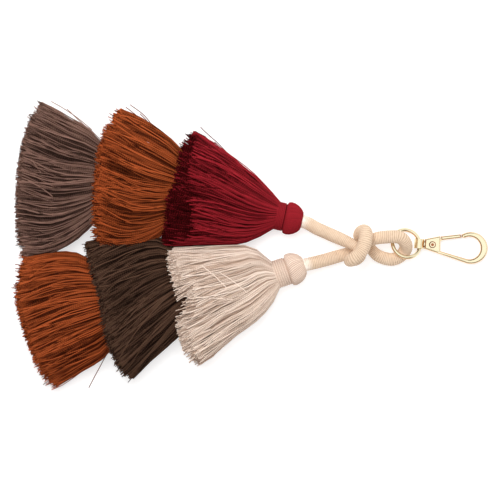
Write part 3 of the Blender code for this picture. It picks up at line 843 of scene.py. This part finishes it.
    def crown_height(self, spot: np.ndarray) -> np.ndarray:
        """Height of the fringe's upper surface.

        Args:
            spot: Places on the table, in mm.

        Returns:
            Heights in mm.
        """
        away, left = self.fan_directions()
        rel = spot - np.array(self.neck[:2])
        out, side = rel @ away, rel @ left
        reach = [s.reach for s in self.stations]
        top = np.interp(out, reach, [s.top for s in self.stations])
        low = np.interp(out, reach, [s.bottom for s in self.stations])
        half = np.where(side > 0, np.interp(out, reach, [s.lower for s in self.stations]),
                        np.interp(out, reach, [s.upper for s in self.stations]))
        share = np.clip(np.abs(side) / half, 0, 1)
        flank = low + 0.24 * (top - low)
        return flank + (top - flank) * (1 - share ** 2.7) ** (1 / 2.7)

    def stray_paths(self) -> tuple[np.ndarray, dict[str, np.ndarray]]:
        """The threads that have left their place and lie across the others.

        Returns:
            Points in metres, and their attributes.
        """
        rng = np.random.default_rng(self.seed + 100)
        t = np.linspace(0, 1, self.points)[None, :, None]
        ends = np.array(self.strays)
        start, stop = ends[:, None, :2], ends[:, None, 2:]
        flat = start + (stop - start) * t
        side = np.stack([-(stop - start)[..., 1], (stop - start)[..., 0]], axis=-1)
        flat = flat + side * (0.03 * rng.normal(0, 1, (len(ends), 1, 1)) * np.sin(math.pi * t))
        high = self.crown_height(flat) + 0.5 * np.sin(math.pi * t[..., 0]) - 0.4 * (1 - t[..., 0])
        paths = np.concatenate([flat, high[..., None]], axis=-1) * MM
        ones = np.ones(paths.shape[:2])
        return paths, {"tone_and_shade": self.stray_tone * ones, "plied": 0.15 * ones,
                       "phase": rng.random((len(ends), 1)) * ones,
                       "freedom": 0.5 * ones}

    def build_fringe(self) -> bpy.types.Object:
        """The cut threads and the strays.

        Returns:
            One plain mesh object.
        """
        paths, layers = self.thread_paths()
        if self.strays:
            more, extra = self.stray_paths()
            paths = np.concatenate([paths, more])
            layers = {key: np.concatenate([layers[key], extra[key]]) for key in layers}
        mesh = path_mesh(f"{self.name}_fringe", paths, layers)
        return grown(f"{self.name}_fringe", mesh, thread_tree(), {
            "Thread Radius": self.thread_radius * MM, "Sides": 3, "Wave": self.wave * MM,
            "Wave Scale": self.wave_scale, "Finish": self.yarn.value.material(),
        })

    def cap_paths(self) -> np.ndarray:
        """The threads laid over the cap, from its top round to its groove.

        Returns:
            Points in metres in the head's own frame, a row for each thread.
        """
        profile = np.array(self.head.cap_profile(self.head.cap_thread_radius * 0.7))
        rows = np.linspace(0, len(profile) - 1, 15)
        radius = np.interp(rows, np.arange(len(profile)), profile[:, 0])
        height = np.interp(rows, np.arange(len(profile)), profile[:, 1])
        turn = np.linspace(0, 2 * math.pi, self.head.cap_threads, endpoint=False)[:, None]
        angle = turn + self.head.cap_twist * np.linspace(0, 1, 15)[None, :]
        return np.stack([radius * np.cos(angle), radius * np.sin(angle),
                         np.broadcast_to(height, angle.shape)], axis=-1) * MM

    def wrap_path(self) -> np.ndarray:
        """The yarn wrapped round the neck.

        Returns:
            Points in metres in the head's own frame, in one row.
        """
        steps = self.head.wraps * 26
        t = np.linspace(0, 1, steps)
        angle = 2 * math.pi * self.head.wraps * t
        radius = self.head.neck_radius - self.head.wrap_radius
        height = 0.5 + (self.head.neck_length - 0.6) * t
        return np.stack([radius * np.cos(angle), radius * np.sin(angle), height], axis=-1)[None] * MM

    def build_head(self) -> bpy.types.Object:
        """The wound head: a core, the threads over its cap and the wraps round its neck.

        Returns:
            One plain mesh object, in its place on the charm.
        """
        yarn = self.yarn.value.material()
        rng = np.random.default_rng(self.seed + 200)
        inner = self.head.cap_profile(self.head.cap_thread_radius * 1.2)
        neck = self.head.neck_radius - self.head.wrap_radius * 1.2
        core = turned(f"{self.name}_core", [(0.0, inner[0][1])] + inner
                      + [(neck, self.head.neck_length), (neck, 0.2), (0.0, 0.2)], 48, yarn)
        caps = self.cap_paths()
        ones = np.ones(caps.shape[:2])
        level = self.head.cap_contrast * np.where(np.arange(len(caps)) % 2, 1, -1)
        level = self.head.cap_tone + level[:, None] + rng.normal(0, 0.05, (len(caps), 1))
        layers = {"tone_and_shade": np.clip(level, 0, 1) * ones, "plied": 0.08 * ones,
                  "phase": rng.random((len(caps), 1)) * ones, "freedom": 0.12 * ones}
        cap = grown(f"{self.name}_cap", path_mesh("cap", caps, layers), thread_tree(), {
            "Thread Radius": self.head.cap_thread_radius * MM, "Sides": 5, "Wave": 2.0 * MM,
            "Wave Scale": 150.0, "Finish": yarn})
        wrap = self.wrap_path()
        ones = np.ones(wrap.shape[:2])
        layers = {"tone_and_shade": self.head.wrap_tone * ones, "plied": 0.06 * ones, "phase": 0.3 * ones,
                  "freedom": 0.12 * ones}
        wraps = grown(f"{self.name}_wraps", path_mesh("wraps", wrap, layers), thread_tree(), {
            "Thread Radius": self.head.wrap_radius * MM, "Sides": 8, "Wave": 2.0 * MM,
            "Wave Scale": 120.0, "Finish": yarn})
        # The core is painted dark, a painted shade seen between the cap threads.
        level = core.data.attributes.new("tone_and_shade", "FLOAT", "POINT")
        level.data.foreach_set("value", np.full(len(core.data.vertices), 0.12, np.float32))
        made = joined(f"{self.name}_head", [core, cap, wraps])
        made.data.transform(self.head_frame())
        return made

    def dress(self) -> None:
        """Build the tassel and hang it on the charm."""
        fringe, head = self.build_fringe(), self.build_head()
        for piece in (fringe, head):
            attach(piece, "charm")
        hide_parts(self.node)
        faces = sum(len(f.data.polygons) for f in (fringe, head))
        LOG.info("%s: %d threads, %d faces", self.name, self.threads, faces)


def first_tier(*halves: tuple[float, float]) -> tuple[Station, ...]:
    """The sections of a fringe at the head of a chain, from its half widths."""
    return tuple(Station(reach, up, low, bottom, top) for (up, low), (reach, bottom, top) in zip(
        halves, ((10.0, 0.6, 25.0), (22.0, 0.0, 31.0), (40.0, 0.0, 34.2), (60.0, 0.0, 33.6),
                 (76.0, 0.0, 32.0))))


def second_tier(*halves: tuple[float, float]) -> tuple[Station, ...]:
    """The sections of a fringe that starts inside another one."""
    return tuple(Station(reach, up, low, bottom, top) for (up, low), (reach, bottom, top) in zip(
        halves, ((10.0, 6.5, 23.5), (22.0, 2.0, 25.5), (40.0, 0.0, 33.4), (60.0, 0.0, 33.6),
                 (76.0, 0.0, 32.0))))


def last_tier(*halves: tuple[float, float]) -> tuple[Station, ...]:
    """The sections of a chain's last fringe, which has nothing inside it."""
    return tuple(Station(reach, up, low, bottom, top) for (up, low), (reach, bottom, top) in zip(
        halves, ((10.0, 8.5, 25.5), (22.0, 4.0, 27.0), (40.0, 0.0, 28.8), (60.0, 0.0, 24.0),
                 (76.0, 0.0, 20.0))))


TASSELS = (
    FringedTassel(
        "red_tassel", "tassel_red", Yarn.RED, (15.0, 18.8, 10.6), -13.0, -15.6,
        first_tier((15.8, 20.0), (21.5, 26.5), (28.5, 31.6), (36.0, 38.5), (41.0, 43.0)),
        ((-1, 64.2), (-0.75, 70), (-0.5, 69), (0, 67.8), (0.25, 69.3), (0.7, 67), (1, 64.5)),
        (8.0, 19.0),
        ((-10.5, 53.5, -33.3, 75.2), (-14.5, 56.5, -36.5, 72.6), (-4.0, 46.0, -24.0, 66.0),
         (-26.9, 44.5, -33.3, 50.9)),
        # The red brush keeps its painted shade at the cut tips.
        tip_shade_lift=0.02, seed=11),
    FringedTassel(
        "upper_rust_tassel", "tassel_rust_upper", Yarn.RUST, (-33.0, 30.4, 17.0), -13.5, -11.9,
        second_tier((18.0, 18.0), (29.5, 33.0), (38.3, 44.5), (44.5, 47.5), (47.0, 48.0)),
        ((-1, 61.2), (-0.7, 68.2), (-0.48, 69.8), (-0.05, 68.8), (0.25, 67.2), (0.55, 64.5),
         (0.78, 61.5), (1, 56)),
        (3.5, 3.5),
        ((-59.0, 69.5, -78.1, 89.9), (-63.5, 72.5, -81.0, 88.0), (-52.0, 62.0, -72.0, 84.0),
         (-85.8, 50.9, -93.4, 59.8)),
        seed=22),
    FringedTassel(
        "taupe_tassel", "tassel_taupe", Yarn.TAUPE, (-84.2, 35.5, 17.0), -7.0, -8.6,
        last_tier((20.0, 20.0), (31.5, 36.0), (39.5, 49.0), (48.0, 56.0), (52.0, 58.0)),
        ((-1, 58.6), (-0.69, 64.8), (-0.2, 67.1), (0.29, 64.9), (0.7, 61), (0.88, 57), (1, 52)),
        (2.5, 2.5),
        ((-103.0, 73.5, -129.0, 91.5), (-98.0, 68.0, -119.0, 87.0),
         (-134.4, 45.8, -140.8, 54.1), (-126.7, 30.4, -142.7, 40.6)),
        stray_tone=1.0, fill_depth=10.0, seed=33),
    FringedTassel(
        "cream_tassel", "tassel_cream", Yarn.CREAM, (17.0, -18.7, 10.6), 18.4, 19.1,
        first_tier((21.0, 17.2), (26.0, 24.0), (31.0, 29.5), (38.0, 37.5), (41.0, 42.0)),
        ((-1, 63.5), (-0.7, 64.8), (-0.42, 65.5), (-0.28, 60), (-0.05, 60), (0.06, 62), (0.16, 67),
         (0.24, 71.7), (0.48, 73.5), (0.67, 73.4), (0.87, 70), (1, 66)),
        (6.0, 6.0),
        ((-16.2, -27.8, -32.2, -13.1), (-3.0, -31.0, -21.0, -17.5), (-12.0, -35.0, -36.0, -33.5)),
        stray_tone=1.0, seed=44, root_reach=1.6, head_shift=-3.2,
        head=Head(length=20.7, neck_length=9.2, wraps=6, wrap_radius=0.72, wrap_tone=0.45,
                  cap_threads=100, cap_thread_radius=0.37, cap_contrast=0.30, cap_tone=0.46)),
    FringedTassel(
        "brown_tassel", "tassel_dark_brown", Yarn.BROWN, (-31.4, -26.9, 17.0), 9.0, 17.0,
        second_tier((29.5, 17.0), (40.5, 25.5), (45.0, 33.5), (48.5, 43.5), (49.0, 49.0)),
        ((-1, 63.0), (-0.8, 65.8), (-0.6, 65.3), (-0.17, 65.8), (0.1, 68.4), (0.4, 69), (0.65, 68.2),
         (0.8, 66.3), (0.92, 63.6), (1, 60)),
        (3.5, 3.5), (), seed=55),
    FringedTassel(
        "lower_rust_tassel", "tassel_rust_lower", Yarn.RUST, (-78.7, -33.0, 17.0), 5.0, 14.4,
        last_tier((18.0, 19.0), (32.0, 33.0), (38.5, 39.5), (42.5, 45.5), (44.0, 49.0)),
        ((-1, 59.4), (-0.5, 69.1), (-0.3, 71.5), (0, 70.8), (0.2, 70.8), (0.4, 68.6), (0.53, 69.5),
         (0.7, 67.4), (0.88, 63.6), (1, 60)),
        (3.5, 3.5), ((-89.0, -64.0, -104.3, -92.0),), fill_depth=10.0, seed=66),
)


# Cords


@dataclass
class WoundCord:
    """The one cord that both chains hang on, closely wound with pale yarn."""

    radius: float = 4.05
    pitch: float = 1.12
    relief: float = 0.22
    sides: int = 20
    stops: tuple[tuple[float, float, float, float], ...] = (
        (30.3, 15.8, 10.5, 1.00), (33.1, 14.6, 10.6, 1.00), (36.7, 13.1, 10.8, 1.00),
        (41.0, 10.6, 11.0, 1.00),
        (46.7, 8.0, 11.4, 1.00), (52.5, 5.4, 12.0, 1.00), (58.2, 2.9, 12.9, 0.96),
        (62.7, 0.8, 13.8, 0.88), (66.7, -1.6, 15.3, 0.80), (69.4, -4.4, 15.6, 0.80),
        (69.6, -7.5, 15.4, 0.78), (67.4, -9.8, 15.1, 0.78), (64.6, -10.6, 15.6, 0.80),
        (62.5, -10.6, 18.1, 0.84), (62.6, -10.2, 21.2, 0.90), (64.9, -8.9, 23.2, 0.98),
        (68.5, -5.7, 23.5, 1.06), (71.0, -1.6, 23.2, 1.08), (72.3, 3.2, 22.2, 1.08),
        (72.6, 7.4, 19.4, 1.04), (71.6, 8.8, 15.6, 0.98), (69.6, 8.0, 12.2, 0.94),
        (68.6, 6.0, 8.9, 0.88), (69.4, 4.0, 5.6, 0.84), (71.9, 2.2, 3.9, 0.80),
        (74.9, 0.0, 3.8, 0.80), (77.3, -3.7, 3.9, 0.86), (80.6, -6.9, 4.2, 0.96),
        (85.4, -8.9, 4.3, 1.00), (90.6, -9.5, 4.25, 1.00), (95.4, -7.4, 4.25, 1.00),
        (98.1, -4.2, 5.1, 1.00), (98.8, -0.9, 8.4, 1.00), (97.6, 2.1, 11.8, 1.00),
        (94.7, 4.5, 14.1, 1.00), (90.6, 5.0, 14.6, 1.00), (85.1, 4.7, 14.1, 1.00),
        (80.0, 4.0, 13.1, 0.96), (75.6, 2.5, 12.2, 0.86), (71.8, 0.2, 10.5, 0.78),
        (67.9, -2.4, 7.2, 0.80), (64.0, -4.5, 5.6, 0.84), (59.5, -6.3, 5.2, 0.94),
        (53.8, -8.0, 5.8, 1.00), (47.4, -9.8, 7.4, 1.00), (40.6, -11.5, 9.2, 1.00),
        (34.6, -12.9, 10.5, 1.00), (31.7, -13.6, 11.1, 1.00),
    )

    def dress(self) -> None:
        route = smooth_route(self.stops, 320)
        length = float(np.linalg.norm(np.diff(route[:, :3], axis=0), axis=1).sum())
        paths = route[None, :, :3] * MM
        from_end = np.minimum(np.arange(320), np.arange(320)[::-1]) * length / 319
        fray = 1.3 * np.clip(1.6 - from_end / 4.5, 0, 1)
        mesh = path_mesh("wound_cord", paths, {"girth": route[None, :, 3], "fray": fray[None]})
        piece = grown("wound_cord_winding", mesh, winding_tree(), {
            "Cord Radius": self.radius * MM, "Rings": int(length / self.pitch * 8),
            "Sides": self.sides, "Pitch": self.pitch * MM, "Relief": self.relief * MM,
            "Finish": WINDING.material(),
        })
        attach(piece, "charm")
        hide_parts("wound_cord")
        LOG.info("wound cord: %.0f mm long, %d faces", length, len(piece.data.polygons))


@dataclass
class TierCords:
    """The short cords, hidden in the fringes, that carry each inner tassel from the one above."""

    radius: float = 1.4
    clearance: float = 0.3
    points: int = 30
    chains: tuple[tuple[int, int, str], ...] = (
        (0, 1, "tier_cord_upper_1"), (1, 2, "tier_cord_upper_2"),
        (3, 4, "tier_cord_lower_1"), (4, 5, "tier_cord_lower_2"),
    )

    def route(self, above: FringedTassel, below: FringedTassel) -> np.ndarray:
        """A tier cord's path.

        Args:
            above: The tassel whose neck it leaves.
            below: The tassel whose cap it enters.

        Returns:
            Points in mm.
        """
        up, down = math.radians(above.head_heading), math.radians(below.head_heading)
        leave = -np.array([math.cos(up), math.sin(up), 0.0])
        arrive = -np.array([math.cos(down), math.sin(down), 0.0])
        start = np.array(above.neck) + leave * self.clearance
        end = np.array(below.neck) - arrive * (below.head.length + self.clearance)
        pull = np.linalg.norm(end - start)
        t = np.linspace(0, 1, self.points)[:, None]
        return (start + (end - start) * (t * t * (3 - 2 * t)) + leave * (t ** 3 - 2 * t ** 2 + t) * pull
                + arrive * (t ** 3 - t ** 2) * pull)

    def dress(self) -> None:
        """Build the four tier cords."""
        for first, second, node in self.chains:
            route = self.route(TASSELS[first], TASSELS[second])
            mesh = path_mesh(node, route[None] * MM, {"girth": np.ones((1, self.points))})
            piece = grown(f"{node}_twist", mesh, winding_tree(), {
                "Cord Radius": self.radius * MM, "Rings": 160, "Sides": 12, "Pitch": 0.9 * MM,
                "Relief": 0.1 * MM, "Finish": WINDING.material()})
            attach(piece, "charm")
            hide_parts(node)
            LOG.info("%s: %.0f mm", node, float(np.linalg.norm(np.diff(route, axis=0), axis=1).sum()))


# Hardware


def shaded_flanks(piece: bpy.types.Object, start: float) -> None:
    """Store how far each face of a metal piece looks sideways, where its colour is painted darker as painted
    shade.

    Args:
        piece: The piece, in its own frame.
        start: Upright share of the normal below which the painted shade sets in.
    """
    mesh = piece.data
    flank = mesh.attributes.new("flank", "FLOAT", "FACE")
    upright = np.array([abs(face.normal.z) for face in mesh.polygons])
    flank.data.foreach_set("value", np.clip((start - upright) / 0.45, 0, 1).astype(np.float32))


def arc(centre: tuple[float, float], radius: float, start: float, end: float,
        steps: int) -> list[tuple[float, float]]:
    """Points along an arc, angles in degrees."""
    turn = [math.radians(start + (end - start) * i / steps) for i in range(steps + 1)]
    return [(centre[0] + radius * math.cos(a), centre[1] + radius * math.sin(a)) for a in turn]


def flat_plate(name: str, outline: list[tuple[float, float]], thickness: float, bevel: float,
               finish: bpy.types.Material, segments: int = 4) -> bpy.types.Object:
    """A flat plate with rounded rims.

    Args:
        name: Name of the object.
        outline: Points round it in mm.
        thickness: Its thickness in mm, centred on Z = 0.
        bevel: Radius of its rims in mm.
        finish: The material.
        segments: Steps round each rim.

    Returns:
        The object.
    """
    curve = bpy.data.curves.new(name, "CURVE")
    curve.dimensions = "2D"
    curve.fill_mode = "BOTH"
    curve.extrude = (thickness / 2 - bevel) * MM
    curve.bevel_depth = bevel * MM
    curve.bevel_resolution = segments
    curve.offset = -bevel * MM
    spline = curve.splines.new("POLY")
    spline.points.add(len(outline) - 1)
    for point, (x, y) in zip(spline.points, outline):
        point.co = (x * MM, y * MM, 0.0, 1.0)
    spline.use_cyclic_u = True
    made = settled(new_object(name, curve, finish), Matrix.Identity(4))
    welded(made.data, 1e-6)
    return made


def cut(body: bpy.types.Object, tools: list[bpy.types.Object], operation: str) -> bpy.types.Object:
    """Join or cut a body with tools, which are used up.

    Args:
        body: The object to work on.
        tools: The objects to add or take away.
        operation: UNION or DIFFERENCE.

    Returns:
        The finished object.
    """
    for tool in tools:
        step = body.modifiers.new("cut", "BOOLEAN")
        step.operation = operation
        step.solver = "EXACT"
        step.object = tool
    made = settled(body, Matrix.Identity(4))
    for tool in tools:
        bpy.data.objects.remove(tool, do_unlink=True)
    return made


def rod(name: str, radius: float, length: float, axis: str, centre: tuple[float, float, float],
        finish: bpy.types.Material, segments: int = 32) -> bpy.types.Object:
    """A cylinder in mm along X, Y or Z, as a tool or a blank."""
    cage = bmesh.new()
    bmesh.ops.create_cone(cage, cap_ends=True, segments=segments, radius1=radius * MM,
                          radius2=radius * MM, depth=length * MM)
    turn = {"X": (math.pi / 2, "Y"), "Y": (math.pi / 2, "X"), "Z": (0.0, "Z")}[axis]
    bmesh.ops.rotate(cage, verts=cage.verts, matrix=Matrix.Rotation(turn[0], 3, turn[1]))
    bmesh.ops.translate(cage, verts=cage.verts, vec=Vector(centre) * MM)
    mesh = bpy.data.meshes.new(name)
    cage.to_mesh(mesh)
    cage.free()
    return new_object(name, mesh, finish)


def block(name: str, low: tuple[float, float, float], high: tuple[float, float, float],
          finish: bpy.types.Material) -> bpy.types.Object:
    """A box between two corners in mm, as a tool."""
    cage = bmesh.new()
    bmesh.ops.create_cube(cage, size=1.0)
    bmesh.ops.scale(cage, verts=cage.verts, vec=(Vector(high) - Vector(low)) * MM)
    bmesh.ops.translate(cage, verts=cage.verts, vec=(Vector(high) + Vector(low)) / 2 * MM)
    mesh = bpy.data.meshes.new(name)
    cage.to_mesh(mesh)
    cage.free()
    return new_object(name, mesh, finish)


@dataclass
class RoundRing:
    """The ring that the cord loops through, tilted over it and under it."""

    centre: tuple[float, float, float] = (99.0, 0.6, 6.6)
    radius: float = 9.3
    wire: float = 1.25
    tilt: float = 24.0
    high_side: float = 225.0

    def dress(self) -> None:
        """Build the ring."""
        bpy.ops.mesh.primitive_torus_add(major_radius=self.radius * MM, minor_radius=self.wire * MM,
                                         major_segments=96, minor_segments=20)
        blank = bpy.context.object
        blank.name = "round_ring"
        blank.data.materials.append(GOLD.material())
        high = math.radians(self.high_side)
        place = (Matrix.Translation(Vector(self.centre) * MM)
                 @ Matrix.Rotation(math.radians(self.tilt), 4,
                                   Vector((math.sin(high), -math.cos(high), 0.0))))
        shaded_flanks(blank, 0.72)
        piece = settled(blank, place)
        piece.data.shade_smooth()
        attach(piece, "charm")
        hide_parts("ring")
        LOG.info("ring: %d faces", len(piece.data.polygons))


@dataclass
class SnapHook:
    """The swivel snap hook: swivel, slotted frame with its bow, rivet and sprung gate, in mm."""

    origin: tuple[float, float, float] = (111.0, 0.3, 3.8)
    heading: float = -4.84
    dip: float = 2.3
    thickness: float = 4.2
    edge: float = 1.35
    plate: tuple[tuple[float, float], ...] = ((0.0, 3.25), (0.0, -3.1))
    plate_right: tuple[tuple[float, float], ...] = ((10.4, -3.7), (9.6, 6.05))
    bow_centre: tuple[float, float] = (29.7, 0.0)
    bow_radius: float = 10.3
    bow_stretch: float = 0.07
    eye_centre: tuple[float, float] = (28.9, -0.1)
    eye_radius: float = 7.2
    nose: tuple[tuple[float, float], ...] = ((23.05, 8.5), (23.35, 6.3))
    pivot: tuple[float, float] = (4.82, 0.0)
    slot_height: float = 2.3
    clearance: float = 0.3
    rivet_radius: float = 1.05
    rivet_head: float = 2.2
    gate_start: tuple[float, float] = (10.25, 4.6)
    gate_tip: tuple[float, float] = (22.9, 7.16)
    gate_width: float = 2.45
    gate_thickness: float = 3.2
    tongue_thickness: float = 2.4
    lever_thickness: float = 1.7
    hub_radius: float = 2.3
    eye_x: float = -3.6
    swivel_radius: float = 3.2
    swivel_hole: float = 2.35
    swivel_width: float = 6.4
    collar_radius: float = 3.3
    post_radius: float = 1.2
    post_length: float = 2.0

    def place(self) -> Matrix:
        """The hook's own frame: X along the hook, Z up."""
        return (Matrix.Translation(Vector(self.origin) * MM)
                @ Matrix.Rotation(math.radians(self.heading), 4, "Z")
                @ Matrix.Rotation(math.radians(self.dip), 4, "Y"))

    def build_frame(self) -> bpy.types.Object:
        """The plate, the lower bar and the bow in one casting, slotted for the gate."""
        gold = GOLD.material()
        outer = arc(self.bow_centre, self.bow_radius, -104.0, 126.0, 56)
        middle = self.bow_centre[0]
        outer = [(x + max(0.0, x - middle) * self.bow_stretch, y) for x, y in outer]
        inner = arc(self.eye_centre, self.eye_radius, -102.0, 120.0, 56)
        outline = (list(self.plate) + outer + list(self.nose) + inner[::-1] + list(self.plate_right))
        body = flat_plate("hook_body", outline, self.thickness, self.edge, gold, 6)
        half = self.slot_height / 2
        tools = [
            block("slot", (2.5, -2.8, -half), (12.0, 8.0, half), gold),
            rod("rivet_bore", self.rivet_radius + self.clearance, 9.0, "Z", (*self.pivot, 0.0), gold),
            rod("post_bore", self.post_radius + self.clearance, 4.6, "X", (0.0, 0.0, 0.0), gold),
        ]
        return cut(body, tools, "DIFFERENCE")

    def build_gate(self) -> bpy.types.Object:
        """The gate: a hub on the rivet, a lever in the slot and a bar out to the nose."""
        gold = GOLD.material()
        pivot, start, tip = (Vector(p) for p in (self.pivot, self.gate_start, self.gate_tip))
        run = (tip - start).normalized()
        side = Vector((-run.y, run.x)) * self.gate_width / 2
        reach = (start - pivot).normalized()
        arm = Vector((-reach.y, reach.x)) * self.gate_width * 0.45
        hub = rod("gate_body", self.hub_radius, self.lever_thickness, "Z", (*self.pivot, 0.0), gold, 48)
        lever = flat_plate("lever", [tuple(p) for p in (
            pivot - arm, start + run * 1.5 - side * 0.8, start + run * 1.5 + side * 0.8, pivot + arm)],
            self.lever_thickness, 0.15, gold, 1)
        bar = flat_plate("bar", [tuple(p) for p in (
            start - side, tip - side, tip + side - run * 0.35, start + side)],
            self.gate_thickness, 1.1, gold, 5)
        body = cut(hub, [lever, bar], "UNION")
        bore = rod("gate_bore", self.rivet_radius + self.clearance, 6.0, "Z", (*self.pivot, 0.0), gold)
        body = cut(body, [bore], "DIFFERENCE")
        tongue = flat_plate("tongue", [tuple(p) for p in (
            tip - run - side * 0.75, tip + run * 0.1 - side * 0.75, tip - run * 0.2 + side * 0.75,
            tip - run + side * 0.75)], self.tongue_thickness, 0.1, DARK_GOLD.material(), 1)
        return joined("gate_body", [body, tongue])

    def build_rivet(self) -> bpy.types.Object:
        """The plain rivet: a shaft, two low heads with a raised rim, and a peened middle."""
        under = self.thickness / 2 + self.clearance
        top = under + 0.6
        rim = self.rivet_head
        upper = [(0.0, top - 0.1), (0.7, top - 0.12), (0.95, top - 0.06), (1.1, top),
                 (rim - 0.55, top), (rim - 0.25, top - 0.12), (rim, top - 0.35),
                 (rim, under), (self.rivet_radius, under)]
        profile = upper + [(r, -h) for r, h in reversed(upper)]
        made = turned("hook_rivet", profile, 48, GOLD.material())
        made.data.materials.append(DARK_GOLD.material())
        # Dark gold on the rivet's outer rim is a painted edge shadow; its middle is darker too.
        for face in made.data.polygons:
            if not 0.85 * MM < math.hypot(*face.center[:2]) < 1.7 * MM:
                face.material_index = 1
        made.data.transform(Matrix.Translation(Vector((*self.pivot, 0.0)) * MM))
        return made

    def build_swivel(self) -> bpy.types.Object:
        """The swivel: an eye round the ring's wire, a collar, and the post in the plate."""
        gold = GOLD.material()
        half, rim = self.swivel_width / 2, 0.4
        out, hole = self.swivel_radius, self.swivel_hole
        flared = hole + 0.3
        eye = turned("swivel_eye", [
            (hole, half - 1.6), (flared, half), (out - rim, half), (out - rim * 0.3, half - rim * 0.3),
            (out, half - rim), (out, rim - half), (out - rim * 0.3, rim * 0.3 - half),
            (out - rim, -half), (flared, -half), (hole, 1.6 - half), (hole, half - 1.6)], 48, gold)
        eye.data.transform(Matrix.Rotation(math.pi / 2, 4, "X"))
        eye.data.transform(Matrix.Translation(Vector((self.eye_x, 0.0, 0.0)) * MM))
        start = self.eye_x + hole + 0.5
        length = -self.clearance - start
        collar = rod("collar", self.collar_radius, length, "X", (start + length / 2, 0.0, 0.0), gold, 48)
        reach = self.post_length - start - 0.1
        post = rod("post", self.post_radius, reach, "X", (start + 0.1 + reach / 2, 0.0, 0.0), gold)
        return cut(eye, [collar, post], "UNION")

    def dress(self) -> None:
        """Build the hook's pieces and hang them on their bodies."""
        pieces = (
            ("hook_casting", self.build_frame(), "hook", "hook_frame", 0.88),
            ("hook_rivet", self.build_rivet(), "hook", "rivet", 0.60),
            ("hook_gate", self.build_gate(), "gate", "gate", 0.90),
            ("hook_swivel", self.build_swivel(), "charm", "swivel", 0.40),
        )
        for name, piece, body, node, start in pieces:
            shaded_flanks(piece, start)
            piece.data.shade_smooth()
            piece.data.set_sharp_from_angle(angle=math.radians(32))
            even = piece.modifiers.new("even", "WEIGHTED_NORMAL")
            even.keep_sharp = True
            piece = settled(piece, self.place())
            piece.name = piece.data.name = name
            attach(piece, body)
            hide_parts(node)
            LOG.info("%s: %d faces", name, len(piece.data.polygons))


# Studio


@dataclass
class Studio:
    """A plain pale table, soft light from above, and a camera that looks straight down."""

    centre: tuple[float, float] = (-1.28, -3.52)
    view_width: float = 320.0
    distance: float = 2400.0
    focus_height: float = 14.0
    bands: tuple[tuple[float, tuple[float, float, float]], ...] = (
        (0.0, (0.80, 0.80, 0.80)), (0.10, (0.70, 0.70, 0.70)), (0.28, (0.45, 0.45, 0.45)),
        (0.36, (0.09, 0.035, 0.012)), (0.74, (0.09, 0.035, 0.012)), (0.79, (1.0, 1.0, 1.0)),
        (1.0, (1.12, 1.12, 1.12)),
    )
    bright_side: float = 25.0
    window_colour: tuple[float, float, float] = (0.90, 0.88, 0.85)

    def camera(self) -> None:
        """The camera over the middle of the photograph."""
        data = bpy.data.cameras.new("overhead")
        data.sensor_width = 36.0
        data.lens = 36.0 * self.distance / self.view_width
        data.clip_end = 20.0
        made = bpy.data.objects.new("overhead", data)
        made.location = Vector((*self.centre, self.distance + self.focus_height)) * MM
        bpy.context.scene.collection.objects.link(made)
        bpy.context.scene.camera = made

    def table(self) -> None:
        """The pale table."""
        cage = bmesh.new()
        bmesh.ops.create_grid(cage, x_segments=1, y_segments=1, size=2.5)
        mesh = bpy.data.meshes.new("table")
        cage.to_mesh(mesh)
        cage.free()
        finish = bpy.data.materials.new("table_paper")
        finish.use_nodes = True
        shader = finish.node_tree.nodes["Principled BSDF"]
        shader.inputs["Base Color"].default_value = (0.55, 0.55, 0.55, 1.0)
        shader.inputs["Roughness"].default_value = 0.9
        shader.inputs["Emission Color"].default_value = (1.0, 1.0, 1.0, 1.0)
        shader.inputs["Emission Strength"].default_value = 0.62
        made = new_object("table", mesh, finish)

    def light(self, name: str, place: tuple[float, float, float], size: float, power: float) -> None:
        """A square soft light aimed at the charm, which the metal doesn't reflect.

        Args:
            name: Name of the light.
            place: Where it hangs, in metres.
            size: Its side in metres.
            power: Its power in watts.
        """
        data = bpy.data.lights.new(name, "AREA")
        data.size = size
        data.energy = power
        made = bpy.data.objects.new(name, data)
        made.location = place
        made.rotation_euler = (-Vector(place)).to_track_quat("-Z", "Y").to_euler()
        made.visible_glossy = False
        bpy.context.scene.collection.objects.link(made)

    def sky(self) -> None:
        """The studio round the table: bright above, with a dark brown band and one bright side."""
        world = bpy.data.worlds.new("studio")
        world.use_nodes = True
        tree = NodeBuilder(world.node_tree)
        place = tree.add("ShaderNodeTexCoord").outputs["Generated"]
        parts = tree.add("ShaderNodeSeparateXYZ", {0: place})
        colours = tree.ramp(parts.outputs["Z"], *self.bands)
        turn = math.radians(self.bright_side)
        ahead = tree.add("ShaderNodeVectorMath", {0: place, 1: (math.cos(turn), math.sin(turn), 0.0)},
                         operation="DOT_PRODUCT")
        window = tree.add("ShaderNodeMapRange", {"Value": ahead.outputs["Value"], "From Min": 0.45,
                                                 "From Max": 0.65})
        lit = tree.mixed(window.outputs["Result"], colours, (*self.window_colour, 1.0))
        tree.link(lit, tree.tree.nodes["Background"].inputs["Color"])
        bpy.context.scene.world = world

    def dress(self) -> None:
        """Build the studio."""
        self.camera()
        self.table()
        self.light("key_soft", (-0.30, 0.65, 1.6), 1.0, 23.0)
        self.sky()
        bpy.context.scene.view_settings.view_transform = "Standard"


def main() -> None:
    """Build the studio and the charm, and note the sizes."""
    logging.basicConfig(level=logging.INFO, format="%(name)s: %(message)s")
    Studio().dress()
    WoundCord().dress()
    for tassel in TASSELS:
        tassel.dress()
    TierCords().dress()
    RoundRing().dress()
    SnapHook().dress()


if __name__ == "__main__":
    main()
